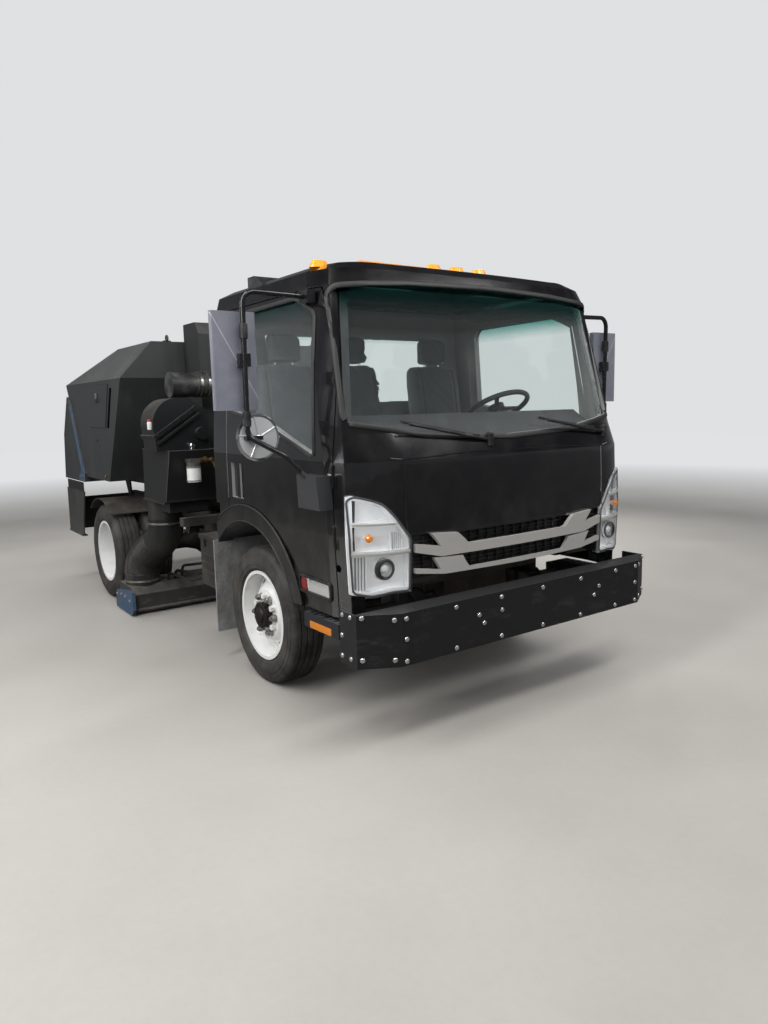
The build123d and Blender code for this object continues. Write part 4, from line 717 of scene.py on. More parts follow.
INDICATOR_BULB = ((0.0, -0.018), (0.010, -0.016), (0.017, -0.006), (0.019, 0.006), (0.012, 0.018),
                  (0.0, 0.020))
PROJECTOR_RING = ((0.034, 0.0), (0.040, 0.004), (0.046, 0.004), (0.050, 0.0), (0.053, -0.02))
PROJECTOR_LENS = ((0.034, -0.018), (0.030, -0.004), (0.020, 0.003), (0.0, 0.007))
# Each part: its outline, its place on the left side, its steps round and its finish
LAMP_PARTS = (("indicator_bulb", INDICATOR_BULB, (896, -1088, 1000), 32, amber_glass),
              ("projector_ring", PROJECTOR_RING, (820, -1116, 848), 48, black_plastic),
              ("projector_lens", PROJECTOR_LENS, (820, -1112, 848), 40, clear_cover))
# Each divider: its line's x and z, and its width
DIVIDERS = (("upper", [(0.968, 1.068), (0.86, 1.066), (0.772, 1.066)], 0.012),
            ("lower", [(0.972, 0.928), (0.86, 0.926), (0.70, 0.926)], 0.016))
DIVIDER_PROUD, RIM_CORNER, RIM_WIDE, RIM_PROUD = 0.003, 0.02, 0.010, 0.002
# Small trim is laid with closer points
TRIM_STEP = 0.02
# x and z of the clear cover's edge, in millimetres
COVER_EDGE = ((984, 1180), (957, 1197), (906, 1184), (857, 1166), (826, 1148), (784, 1103), (737, 1040),
              (704, 997), (696, 980), (699, 734), (790, 738), (890, 725), (966, 742), (976, 930))
for side, way in SIDES:
    for kind, outline, (x, y, z), steps, material in LAMP_PARTS:
        turned(f"{kind}_{side}", outline, spot(way * x, y, z), AHEAD, steps, material, "cab")
    for level, corners, width in DIVIDERS:
        line = [on_front(way * x, z) for x, z in even(corners, TRIM_STEP)]
        strip(f"lamp_divider_{level}_{side}", line, width, DIVIDER_PROUD, silver_paint, "cab")
    rim = even(rounded([(x / 1000, z / 1000) for x, z in COVER_EDGE], RIM_CORNER), TRIM_STEP, True)
    line = [on_front(way * x, z) for x, z in rim]
    strip(f"lamp_rim_{side}", line, RIM_WIDE, RIM_PROUD, grey_plastic, "cab", True)


# Door trim and flares: a moulded indicator and reflector low on each door, fixed from behind, and
# rubber lips pushed over the edges of the cab's wheel flares.
def tube(path, radius, steps):
    """Points and faces of a round bar along a path of points."""
    points = []
    side = None
    for i, place in enumerate(path):
        ahead = (path[min(i + 1, len(path) - 1)] - path[max(i - 1, 0)]).normalized()
        side = (ahead.orthogonal() if side is None else side - ahead * side.dot(ahead)).normalized()
        across = ahead.cross(side)
        for step in range(steps):
            angle = 2 * math.pi * step / steps
            points.append(place + (side * math.cos(angle) + across * math.sin(angle)) * radius)
    return points, net(len(path), steps, False, True) + ends(len(path), steps)


def laid(name, corners, across, up, surface, proud, material, body, ripple):
    """A raised lens laid on a surface, inside four corners there; ripple is its flutes' depth."""
    points = []
    for j in range(up + 1):
        for i in range(across + 1):
            u, v = i / across, j / up
            shares = ((1 - u) * (1 - v), u * (1 - v), u * v, (1 - u) * v)
            at = [sum(share * c for share, c in zip(shares, edge)) for edge in zip(*corners)]
            place, normal = surface(*at)
            inside = min(i, across - i, 1) * min(j, up - j, 1)
            wave = ripple if (i % 2) and inside else 0.0
            points.append(place + normal * (proud * (0.25 + 0.75 * inside) + wave))
    return fitted(name, [(points, net(up + 1, across + 1))], material, body)


# Corners as y behind the front axle and z
LAMP_BEZEL = ((-0.895, 0.762), (-0.600, 0.766), (-0.600, 0.684), (-0.895, 0.682))
LAMP_CORNERS = ((-0.885, 0.690), (-0.672, 0.690), (-0.672, 0.757), (-0.885, 0.755))
REFLECTOR_CORNERS = ((-0.668, 0.690), (-0.612, 0.690), (-0.612, 0.758), (-0.668, 0.757))
BEZEL_CORNER, BEZEL_WIDE, BEZEL_PROUD = 0.012, 0.016, 0.010
# Each lens: its corners, its cells across and up, how proud it stands, its flutes and its finish
LENSES = (("side_lamp_lens", LAMP_CORNERS, 26, 3, 0.007, 0.0012, clear_cover),
          ("side_lamp_back", LAMP_CORNERS, 8, 3, 0.002, 0.0, chrome),
          ("side_reflector", REFLECTOR_CORNERS, 10, 6, 0.006, 0.0008, red_lens))
# Each lip: its radius about a centre just above the axle, and its thickness
FLARE_LIPS = ((0.655, 0.012), (0.5615, 0.010))
FLARE_X, FLARE_Z, FLARE_BACK = 1.0035, 0.41, 0.395
LIP_ANGLES = [math.radians(18 + 144 * i / 60) for i in range(61)]
for side, way in SIDES:
    door = f"door_{side}"
    flank = partial(on_side, way)
    bezel = [flank(y, z) for y, z in even(rounded(LAMP_BEZEL, BEZEL_CORNER), TRIM_STEP, True)]
    strip(f"side_lamp_bezel_{side}", bezel, BEZEL_WIDE, BEZEL_PROUD, black_plastic, door, True)
    for kind, corners, across, up, proud, flutes, material in LENSES:
        laid(f"{kind}_{side}", corners, across, up, flank, proud, material, door, flutes)
    for radius, thick in FLARE_LIPS:
        arc = [Vector((way * FLARE_X, AXLE.y + math.cos(a) * radius, FLARE_Z + math.sin(a) * radius))
               for a in LIP_ANGLES]
        arc = [place for place in arc if place.y < AXLE.y + FLARE_BACK]
        fitted(f"flare_lip_{int(radius * 1000)}_{side}", [tube(arc, thick / 2, 8)], seal_rubber, "cab")

# Fascia seams: rolled edges between the panels under the windscreen, in the cab's gloss paint,
# which catch the light. Each line is its x and z.
SEAM_TOP = [(-0.795, 1.366), (-0.711, 1.356), (-0.318, 1.372), (0.318, 1.372), (0.711, 1.356), (0.795, 1.366)]
SEAM_SIDE = [(0.711, 1.352), (0.715, 1.17), (0.707, 1.008)]
SEAM_RADIUS = 0.0028
for name, line in (("top", SEAM_TOP), ("right", [(-x, z) for x, z in SEAM_SIDE]), ("left", SEAM_SIDE)):
    laid_on = [on_front(x, z) for x, z in even(line, LAY_STEP)]
    run = [place + normal * STRIP_LIFT for place, normal in laid_on]
    fitted(f"fascia_seam_{name}", [tube(run, SEAM_RADIUS, 8)], cab_gloss, "cab")

# Glass: flat and curved panes bonded into their frames with rubber. The windscreen has a band of
# tint along its top.
TINT_LOW, TINT_HIGH = 2.03, 2.13
pane = Paint("cab_glass_tint")
band = pane.spread(pane.place("Z"), TINT_LOW, TINT_HIGH)
smudges = pane.patches(0.5, 0.85, 9, 6, 0.6)
coat("cab_glass door_glass_right door_glass_left", pane.finish(
    Base_Color=pane.blend(band, (0.90, 0.95, 0.935), (0.08, 0.36, 0.32)), Roughness=smudges * 0.05,
    Transmission_Weight=1.0, IOR=1.42, Alpha=1.0 - pane.ray("Shadow") * (0.8 - band * 0.4)))

# Interior: a grained dash moulding, a soft steering wheel and three padded seats in woven cloth.
# Each seat's base, back and head rest is its own cushion, with seams near its sides.
dash_skin = gloss_of("dash_moulding", (0.030, 0.031, 0.034), 0.62, fine=420.0, grain=0.0012,
                     slot="black_plastic")
coat("dashboard", dash_skin)
coat("steering_wheel", gloss_of("wheel_grip", (0.016, 0.016, 0.017), 0.45, fine=300.0, dirt=0.08))
weave = Paint("seat_cloth", "seat_cloth")
threads = weave.noise(420, 2, 0.5, (1, 3, 3))
wear = weave.patches(0.35, 0.75, 7, 5, 0.6)
worn = weave.blend(wear, (0.10, 0.105, 0.115), (0.17, 0.175, 0.185))
seat_cloth = weave.finish(Base_Color=weave.blend(threads, worn, (0.055, 0.058, 0.065)),
                          Roughness=0.9, Sheen_Weight=0.3, Normal=weave.bump(threads, 0.0015))
SEAM_DEEP, SEAM_HALF, CREASE_DEEP = 0.007, 0.022, 0.0022
CUSHION_STEPS = 48


def block(low, high, bevel):
    """Points and faces of a box with soft edges."""
    made = bmesh.new()
    bmesh.ops.create_cube(made, size=1)
    low, high = Vector(low), Vector(high)
    for vertex in made.verts:
        vertex.co = (low + high) / 2 + Vector(a * b for a, b in zip(vertex.co, high - low))
    reach = min(bevel, min(high - low) * 0.45)
    bmesh.ops.bevel(made, geom=made.edges[:], offset=reach, segments=2, profile=0.7, affect="EDGES")
    points = [v.co.copy() for v in made.verts]
    faces = [tuple(v.index for v in f.verts) for f in made.faces]
    made.free()
    return points, faces


def boxed(name, low, high, material, body, bevel=0.004):
    """One box with soft edges that rides on a body."""
    return fitted(name, [block(low, high, bevel)], material, body)


def cushion(name, outline, x, half, corner, puff, seams):
    """A padded solid: a side outline (y, z) in millimetres, swept across, rounded and filled out."""
    outline = even(rounded([(y / 1000, z / 1000) for y, z in outline], 0.03), 0.018, True)
    count = len(outline)
    area = sum(a[0] * b[1] - b[0] * a[1] for a, b in zip(outline, outline[1:] + outline[:1]))
    turn = 1 if area > 0 else -1
    points = []
    for station in range(CUSHION_STEPS + 1):
        u = -1 + 2 * station / CUSHION_STEPS
        past = max(0.0, (abs(u) * half - (half - corner)) / corner)
        move = puff * (1 - u * u) - corner * (1 - math.sqrt(max(0.0, 1 - past * past)))
        for seam in seams:
            move -= SEAM_DEEP * math.exp(-((abs(u) - seam) / SEAM_HALF) ** 2)
        for i, (y, z) in enumerate(outline):
            before, after = outline[i - 1], outline[(i + 1) % count]
            along = Vector((after[0] - before[0], after[1] - before[1])).normalized() * turn
            crease = CREASE_DEEP * math.sin(31 * y + 23 * z + 5 * u) * math.sin(47 * z + 9 * u)
            shift = move + crease
            points.append(spot(0, 0, 0) + Vector((x + half * u, y + along.y * shift, z - along.x * shift)))
    rows = CUSHION_STEPS + 1
    faces = net(rows, count, False, True) + ends(rows, count)
    pad = fitted(name, [(points, faces)], seat_cloth, "cab", math.radians(60))
    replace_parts(pad, "seats")


# Each pad: its outline, its share of the seat's width, its corners' radius, how far it is filled
# out, and where its seams are as shares of the way from its middle to its side
SEAT_PADS = (
    ("base", ((-330, 1080), (-345, 1235), (-300, 1262), (130, 1235), (150, 1080)),
     0.99, 0.040, 0.004, (0.70,)),
    ("back", ((95, 1240), (170, 1760), (200, 1850), (240, 1872), (282, 1850), (290, 1760), (215, 1240)),
     0.95, 0.032, 0.006, (0.70,)),
    ("head", ((190, 1888), (198, 2030), (240, 2058), (284, 2038), (284, 1888)),
     0.5, 0.030, 0.004, ()))
# Each seat: the x of its middle, and half its width
SEATS = (("right", -0.583, 0.212), ("middle", -0.09, 0.190), ("left", 0.583, 0.212))
POST_OFF, POST_Y, POST_HEIGHTS, POST_RADIUS = 0.06, 240, (1850, 1875, 1900), 0.007
BUCKLE_SHARE, BUCKLE_Y, BUCKLE_Z = 0.6, 120, 1240
BUCKLE_HALF, BUCKLE_TALL = Vector((0.012, 0.02, 0.0)), 0.07
for seat, middle, half in SEATS:
    for part, outline, share, corner, puff, seams in SEAT_PADS:
        cushion(f"seat_{part}_{seat}", outline, middle, half * share, corner, puff, seams)
    for side, way in SIDES:
        post = [spot((middle + way * POST_OFF) * 1000, POST_Y, z) for z in POST_HEIGHTS]
        fitted(f"head_post_{seat}_{side}", [tube(post, POST_RADIUS, 16)], chrome, "cab")
    buckle = spot((middle + half * BUCKLE_SHARE) * 1000, BUCKLE_Y, BUCKLE_Z)
    boxed(f"seat_buckle_{seat}", buckle - BUCKLE_HALF, buckle + BUCKLE_HALF + UP * BUCKLE_TALL, dash_skin,
          "cab", 0.006)

# Mirrors: each arm is one bent tube from the door's top corner to its foot, with a flat and a round
# mirror clamped to it. Its head is a pale satin shell, and the arm is black.
SHELL_IN, SHELL_LOW, SHELL_FRONT = 1.203, 1.598, AXLE.y - 0.6725
FOOT_TOP, FOOT_OUT = 1.31, 1.09
# A painted highlight runs slanting over the shell from its low inner corner
HIGHLIGHT_X, HIGHLIGHT_Z, HIGHLIGHT_SLOPE, HIGHLIGHT_WIDE = 1.207, 1.64, 1.75, 0.006
lilac = Paint("mirror_satin")
off_middle, height = lilac.off_middle(), lilac.place("Z")
off_line = lilac.math_of("ABSOLUTE", (height - HIGHLIGHT_Z) - (off_middle - HIGHLIGHT_X) * HIGHLIGHT_SLOPE)
painted_highlight_line = (1.0 - lilac.spread(off_line, 0.0, HIGHLIGHT_WIDE)) * (off_middle > 1.21) * (height > 1.61)
chalk = lilac.patches(0.42, 0.8, 10, 6, 0.65)
shell = (off_middle > SHELL_IN) * (height > SHELL_LOW) * (lilac.place("Y") > SHELL_FRONT)
foot = (height < FOOT_TOP) * (off_middle < FOOT_OUT)
arm_black = lilac.blend(foot, (0.008, 0.008, 0.009), (0.055, 0.056, 0.060))
# A thin pale line laid over the shell's grey: a painted highlight
shell_grey = lilac.blend(painted_highlight_line * 0.6, lilac.blend(chalk, (0.16, 0.165, 0.20), (0.215, 0.22, 0.25)),
                         (0.62, 0.62, 0.64))
coat("mirror_right mirror_left", lilac.finish(
    Base_Color=lilac.blend(shell, arm_black, shell_grey),
    Roughness=0.22 + shell * 0.14 + foot * 0.2 + chalk * 0.15, Metallic=foot * 0.4, Coat_Weight=0.3,
    Normal=lilac.pitted(0.0005, 160, 3, 0.6)))
silvering = gloss_of("mirror_silvering", (0.86, 0.88, 0.89), 0.02, 1.0, 0.04, 0.0, slot="steel")

# The flat glass, in millimetres: its inner edge, width, foot, height, face and crown
GLASS_IN, GLASS_WIDE, GLASS_LOW, GLASS_TALL, GLASS_Y, GLASS_CROWN = 1230, 188, 1622, 408, -593.5, 20
GLASS_CELLS = (12, 6)
CONVEX_GLASS = ((0.0, 0.0315), (0.03, 0.0285), (0.06, 0.0238), (0.09, 0.0115), (0.104, 0.0040))
CONVEX_RIM = ((0.098, -0.0095), (0.107, -0.0105), (0.1115, -0.0075), (0.1122, -0.001), (0.110, 0.003),
              (0.105, 0.0042))
BACK_HUB = ((0.0, 0.0175), (0.010, 0.0165), (0.016, 0.012), (0.02, 0.0075))
BACK_DISH = ((0.0, 0.0118), (0.05, 0.0108), (0.09, 0.0096), (0.106, 0.0086))
BACK_RIB = ((0.012, 0.0135), (0.058, 0.0125), (0.080, 0.0115), (0.100, 0.0100))
RIB_COUNT, RIB_RADIUS = 5, 0.0034
CONVEX_PLACE = (1225, -660, 1472)
# The arm's upright part: its x, its foot's y and z, and how far it leans forward for its height
ARM_X, ARM_Y, ARM_Z, ARM_LEAN = 1290, -690, 1480, 10 / 660
CLAMP_HEIGHTS = (1560, 1960)
CLAMP = ((0.0135, -0.035), (0.019, -0.033), (0.020, -0.010), (0.0185, 0.0), (0.020, 0.010),
         (0.019, 0.033), (0.0135, 0.035))
for side, way in SIDES:
    door = f"door_{side}"
    cells_wide, cells_tall = GLASS_CELLS
    grid = []
    for j in range(cells_tall + 1):
        for i in range(cells_wide + 1):
            share = i / cells_wide
            crown = GLASS_CROWN * (abs(share - 0.5) * 2) ** 1.6
            grid.append(spot(way * (GLASS_IN + GLASS_WIDE * share), GLASS_Y - crown,
                             GLASS_LOW + GLASS_TALL * j / cells_tall))
    fitted(f"mirror_glass_{side}", [(grid, net(cells_tall + 1, cells_wide + 1))], silvering, door)
    x, y, z = CONVEX_PLACE
    centre = spot(way * x, y, z)
    turned(f"convex_glass_{side}", CONVEX_GLASS, centre, BACK, 64, silvering, door)
    turned(f"convex_rim_{side}", CONVEX_RIM, centre, BACK, 64, chrome, door)
    ribs = []
    for rib in range(RIB_COUNT):
        angle = 2 * math.pi * rib / RIB_COUNT + 0.5
        out = Vector((math.cos(angle), 0, math.sin(angle)))
        ribs.append(tube([centre + out * r + AHEAD * lift for r, lift in BACK_RIB], RIB_RADIUS, 10))
    ribs += [lathe(BACK_HUB, centre, AHEAD, 32), lathe(BACK_DISH, centre, AHEAD, 64)]
    fitted(f"convex_back_{side}", ribs, headlamp_silver, door)
    for index, z in enumerate(CLAMP_HEIGHTS):
        on_arm = spot(way * ARM_X, ARM_Y - (z - ARM_Z) * ARM_LEAN, z)
        turned(f"mirror_clamp_{index}_{side}", CLAMP, on_arm, UP, 28, black_plastic, door)

# Wipers: cast arms in satin black with rubber blades, each on a spindle under a cap. They rest on
# the windscreen's foot.
coat("wipers", gloss_of("wiper_satin", (0.012, 0.012, 0.013), 0.38))
# Each blade: x and z of its pivot and its tip
BLADES = (("right", (-0.160, 1.425), (-0.666, 1.520)), ("left", (0.767, 1.432), (0.260, 1.512)))
BLADE_SHARES = [0.12 + 0.88 * i / 16 for i in range(17)]
BLADE_RISE, BLADE_WIDE, BLADE_TALL = 0.012, 0.010, 0.012
for side, (x, z), (tip_x, tip_z) in BLADES:
    line = [on_front(x + t * (tip_x - x), z + t * (tip_z - z) + BLADE_RISE) for t in BLADE_SHARES]
    strip(f"wiper_blade_{side}", line, BLADE_WIDE, BLADE_TALL, seal_rubber, "cab")
SPINDLES = (spot(-160, -1128, 1455), spot(767, -1105, 1462))
SPINDLE_CAP = ((0.017, -0.012), (0.019, -0.004), (0.017, 0.006), (0.010, 0.011), (0.0, 0.012))
for index, place in enumerate(SPINDLES):
    turned(f"wiper_cap_{index}", SPINDLE_CAP, place, (UP + AHEAD / 4).normalized(), 28, black_plastic, "cab")

# Roof: amber lenses with moulded ribs, the wide one on a black housing, and a black vent. They are
# screwed down from above.
LENS_FOOT, BAR_HALF, BAR_FRONT = 2.334, 0.5, AXLE.y - 0.46
lens = Paint("roof_amber")
in_bar = (lens.off_middle() < BAR_HALF) * (lens.place("Y") > BAR_FRONT)
housing = (1.0 - (lens.place("Z") > LENS_FOOT)) * in_bar
flutes = lens.math_of("SINE", lens.place("X") * 420.0)
# The amber lenses glow faintly: painted light that stands in for light coming through them
coat("roof_lamps", lens.finish(
    Base_Color=lens.blend(housing, (0.95, 0.34, 0.03), (0.02, 0.02, 0.022)),
    Roughness=0.16 + housing * 0.3, Coat_Weight=0.5,
    Emission_Color=lens.blend(housing, (0.10, 0.030, 0.002), (0, 0, 0)), Emission_Strength=1.0,
    Normal=lens.bump(flutes, 0.0009)))
coat("roof_vent", black_plastic)

# Steps and front mud flaps: pressed treads with pale wear under each door and an amber reflector
# at the edge, and sheets of stained grey rubber bolted behind the front wheels.
step_paint = Paint("step_paint", "black_plastic")
worn_top = step_paint.facing_up() * step_paint.patches(0.4, 0.75, 16, 6, 0.7)
step_black = step_paint.finish(
    Base_Color=step_paint.blend(worn_top, (0.015, 0.017, 0.022), (0.12, 0.12, 0.122)),
    Roughness=0.5 + worn_top * 0.25, Normal=step_paint.pitted(0.001, 90, 4, 0.7))
coat("side_steps", step_black)
flap = Paint("flap_rubber")
streaks = flap.patches(0.38, 0.72, 6, 7, 0.75, (1, 9, 0.6))
stain = (streaks + flap.spread(flap.place("Z"), 0.9, 0.35) * 0.35).clamp()
coat("mud_flaps", flap.finish(
    Base_Color=flap.blend(stain, (0.33, 0.34, 0.35), (0.13, 0.125, 0.115)), Roughness=0.7,
    Normal=flap.pitted(0.0012, 70, 4, 0.7)))
# Millimetres: the treads' ends, foot and top, the first one's y, their pitch and half their width
TREAD_IN, TREAD_OUT, TREAD_FOOT, TREAD_TOP = 828, 985, 579.5, 584
FIRST_TREAD, TREAD_PITCH, TREAD_WIDE, TREAD_COUNT = -945, 45, 9, 7
STEP_REFLECTOR = ((998, -903, 508), (1004, -700, 544))


def between(way, low, high, bevel):
    """A block between two corners in millimetres, on either side of the truck."""
    ends = sorted((way * low[0], way * high[0]))
    return block(spot(ends[0], *low[1:]), spot(ends[1], *high[1:]), bevel)


for side, way in SIDES:
    treads = []
    for i in range(TREAD_COUNT):
        y = FIRST_TREAD + TREAD_PITCH * i
        foot, top = (TREAD_IN, y - TREAD_WIDE, TREAD_FOOT), (TREAD_OUT, y + TREAD_WIDE, TREAD_TOP)
        treads.append(between(way, foot, top, 0.002))
    fitted(f"step_treads_{side}", treads, step_black, "chassis")
    fitted(f"step_reflector_{side}", [between(way, *STEP_REFLECTOR, 0.003)], amber_glass, "chassis")


# Module behind the cab: folded and welded steel in satin black with worn edges, and a scroll
# blower in two halves bolted along a flange.
def worn_black(name, colour, rough=0.42, dirt=0.5, low=0.3, slot=None):
    """Satin paint that gathers road dirt low down and dust on its upward faces."""
    paint = Paint(name, slot)
    grime = road_dirt(paint, low, 1.0, dirt)
    on_top = paint.facing_up() * paint.patches(0.3, 0.75, 4, 6, 0.7) * 0.5
    scuffs = paint.patches(0.66, 0.74, 14, 8, 0.75) * 0.35
    scuffed = paint.blend(scuffs, colour, tuple(c * 3 + 0.03 for c in colour))
    return paint.finish(Base_Color=paint.blend(grime, paint.blend(on_top, scuffed, DUST), DIRT),
                        Roughness=rough + grime * 0.3 + on_top * 0.3,
                        Normal=paint.pitted(0.0008, 36, 5, 0.65))


module_black = worn_black("module_black", (0.013, 0.0135, 0.014), slot="frame_paint")
coat("transition_box battery_box", module_black)
coat("intake_duct", worn_black("duct_black", (0.020, 0.0205, 0.021), 0.5))
coat("blower", worn_black("scroll_black", (0.012, 0.0125, 0.0135), 0.36, 0.3))
edge_steel = gloss_of("edge_wear", (0.16, 0.16, 0.16), 0.4, 0.6, 0.3, slot="steel")
# The transition box's corners: its two sides, and y and z down its slanting front
BOX_OUT, BOX_IN, BOX_TOP, BOX_REAR = -951, -559, 1323, 1904
BOX_FRONT = ((1315, BOX_TOP), (1449, 944), (1516, 924))
WORN_FRONT, WORN_SIDE = 0.0026, 0.0022
edges = [tube([spot(x, y, z) for y, z in BOX_FRONT], WORN_FRONT, 8) for x in (BOX_OUT, BOX_IN)]
edges.append(tube([spot(x, *BOX_FRONT[0]) for x in (BOX_OUT, BOX_IN)], WORN_FRONT, 8))
edges.append(tube([spot(BOX_OUT, y, BOX_TOP) for y in (BOX_FRONT[0][0], BOX_REAR)], WORN_SIDE, 8))
fitted("box_worn_edges", edges, edge_steel, "chassis")
flange = [block(spot(-962, 1448, 938), spot(-548, 1462, 952), 0.002),
          block(spot(-962, 1456, 922), spot(-950, 1938, 938), 0.002)]
fitted("box_flange", flange, module_black, "chassis")
BALL_RADIUS, BALL_MIDDLE = 0.026, 0.034
ball = [(0.0, 0.0), (0.021, 0.0), (0.022, 0.008), (0.017, 0.011)]
for angle in [math.radians(a) for a in range(-50, 91, 10)]:
    ball.append((BALL_RADIUS * math.cos(angle), BALL_MIDDLE + BALL_RADIUS * math.sin(angle)))
turned("box_ball_cap", ball, spot(-769, 1352, 1320), UP, 40, chrome, "chassis")

# Radiator and fuel tank: a finned core under soot, and a brushed aluminium tank strapped to the
# left rail.
core = Paint("radiator_core")
fins = core.math_of("SINE", core.place("Z") * 900.0)
soot = core.patches(0.35, 0.75, 6, 6, 0.7)
# Stripes of darker and lighter grey across the fins: painted shade in the gaps and painted light on the
# crests
fin_light_and_shade = core.blend(fins * 0.5 + 0.5, (0.012, 0.012, 0.012), (0.045, 0.045, 0.045))
coat("radiator", core.finish(Base_Color=core.blend(soot, fin_light_and_shade, DIRT), Roughness=0.6,
                             Normal=core.bump(fins, 0.001)))
tank = Paint("tank_shell")
tank_dirt = road_dirt(tank, 0.3, 0.85, 0.9)
brushed = tank.noise(40, 4, 0.6, (1, 0.04, 1))
coat("fuel_tank", tank.finish(
    Base_Color=tank.blend(tank_dirt, (0.40, 0.41, 0.42), DIRT), Metallic=0.85,
    Roughness=0.30 + brushed * 0.2 + tank_dirt * 0.3, Normal=tank.bump(brushed, 0.0004)))

# Air cleaner: a can moulded in black plastic, with a paper element inside. Three steel bands with
# lugs hold it.
can = Paint("cleaner_plastic")
can_dust = can.patches(0.45, 0.8, 9, 6, 0.65) * 0.5
coat("air_cleaner", can.finish(Base_Color=can.blend(can_dust, (0.016, 0.016, 0.017), DUST),
                               Roughness=0.48, Normal=can.pitted(0.001, 140, 4, 0.7)))
band_steel = gloss_of("band_steel", (0.62, 0.60, 0.56), 0.26, 1.0, 0.25, slot="steel")
CLEANER_BAND = ((0.0925, -0.009), (0.0955, -0.008), (0.0955, 0.008), (0.0925, 0.009))
# The can's middle line, and the bands' places along it, in millimetres
CLEANER_Y, CLEANER_Z, BAND_PLACES = 1450, 1795, (-655, -595, -465)
bands = []
for x in BAND_PLACES:
    bands.append(lathe(CLEANER_BAND, spot(x, CLEANER_Y, CLEANER_Z), LEFT, 56))
    bands.append(block(spot(x - 8, 1356, 1790), spot(x + 8, 1362, 1820), 0.002))
fitted("cleaner_bands", bands, band_steel, "chassis")

# Oil filter: a white pressed can with rolled rims, screwed on under a dark cast head. Its brass
# fittings are hexagon bar, on a bent pipe.
FILTER_HEAD = 1.2055
oil_can = Paint("filter_white")
in_head = oil_can.place("Z") > FILTER_HEAD
smear = oil_can.patches(0.5, 0.8, 24, 6, 0.7)
smeared = oil_can.blend(smear * 0.6, (0.78, 0.78, 0.76), (0.30, 0.28, 0.24))
coat("oil_filter", oil_can.finish(
    Base_Color=oil_can.blend(in_head, smeared, (0.07, 0.065, 0.055)), Roughness=0.3 + in_head * 0.3,
    Coat_Weight=0.3, Normal=oil_can.bump(smear, 0.0004)))
CAN_RIM = ((0.049, -0.004), (0.0525, -0.002), (0.0525, 0.003), (0.049, 0.005))
CAN_X, CAN_Y, RIM_HEIGHTS = -790, 1285, (1104, 1200)
rims = [lathe(CAN_RIM, spot(CAN_X, CAN_Y, z), UP, 48) for z in RIM_HEIGHTS]
fitted("filter_rims", rims, edge_steel, "chassis")


def bent(corners, radius, steps=6):
    """A path through corners, each rounded by a radius."""
    return [Vector(p) for p in rounded([tuple(c) for c in corners], radius, False, steps)]


def stub(radius, height, inset=0.0, bevel=0.0):
    """The outline of a nut, bolt head or plug, whose top rim is drawn in by an inset and a bevel."""
    rim = ((radius, height - bevel), (radius - inset, height)) if bevel else ((radius, height),)
    return ((0.0, 0.0), (radius, 0.0), *rim, (0.0, height))


brass = gloss_of("brass_fitting", (0.50, 0.33, 0.14), 0.34, 1.0, 0.35, slot="cast_metal")
PIPE_Y, PIPE_Z = 1290, 1249
oil_pipe = bent([spot(-752, PIPE_Y, PIPE_Z), spot(-640, PIPE_Y, PIPE_Z), spot(-612, PIPE_Y, 1170)], 0.03)
fittings = [tube(oil_pipe, 0.011, 14)]
for x, tall in ((-740, 0.024), (-660, 0.02), (-700, 0.016)):
    fittings.append(lathe(stub(0.018, tall), spot(x, PIPE_Y, PIPE_Z), LEFT, 6))
fittings.append(lathe(stub(0.016, 0.024, 0.006, 0.004), spot(-700, PIPE_Y, PIPE_Z + 1), UP, 6))
fitted("filter_fittings", fittings, brass, "chassis")

# Lubricator: a small cup moulded in white plastic with a red cap, screwed onto the blower's
# flange.
CUP = ((0.0, 0.0), (0.015, 0.0), (0.017, 0.004), (0.017, 0.052), (0.012, 0.058))
CUP_CAP = ((0.0, 0.0), (0.015, 0.001), (0.015, 0.014), (0.011, 0.018), (0.0, 0.018))
white_plastic = gloss_of("white_plastic", (0.74, 0.74, 0.72), 0.35, slot="black_plastic")
red_cap = gloss_of("red_cap", (0.40, 0.03, 0.02), 0.35, slot="black_plastic")
CUP_FOOT, CUP_TALL = spot(-1052, 1400, 1478), 0.056
turned("lubricator_body", CUP, CUP_FOOT, UP, 32, white_plastic, "chassis")
turned("lubricator_cap", CUP_CAP, CUP_FOOT + UP * CUP_TALL, UP, 32, red_cap, "chassis")

# Ducts: ribbed rubber from the blower down to the sweep head and from the head up to the hopper,
# clamped at both ends with steel bands.
duct_rubber = dull_black("duct_rubber", (0.011, 0.011, 0.012), 0.55, 0.38, 0.1, 0.75, "hose_rubber")
coat("pressure_hose suction_tube", duct_rubber)
DUCT_ROUTE = [spot(-830, 1830, 780), spot(-830, 1830, 650), spot(-950, 2125, 400), spot(-950, 2125, 150)]
DUCT_RIB = ((0.1335, -0.0065), (0.1385, -0.004), (0.1400, 0.0), (0.1385, 0.004), (0.1335, 0.0065))
FIRST_RIB, RIB_PITCH, RIBS = 0.33, 0.0165, 22
run = bent(DUCT_ROUTE, 0.2, 24)
lengths = [0.0]
for before, after in zip(run, run[1:]):
    lengths.append(lengths[-1] + (after - before).length)
rings = []
for step in range(RIBS):
    reach = lengths[-1] * FIRST_RIB + step * RIB_PITCH
    i = max(k for k in range(len(run) - 1) if lengths[k] <= reach)
    share = (reach - lengths[i]) / (lengths[i + 1] - lengths[i])
    rings.append(lathe(DUCT_RIB, run[i].lerp(run[i + 1], share), (run[i + 1] - run[i]).normalized(), 56))
fitted("hose_ribs", rings, duct_rubber, "chassis")
BAND_RADIUS = 0.138
BAND = ((BAND_RADIUS, -0.0075), (BAND_RADIUS + 0.0025, -0.0065), (BAND_RADIUS + 0.0025, 0.0065),
        (BAND_RADIUS, 0.0075))
duct_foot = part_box("pressure_hose")[0].z * 1000
clasps = []
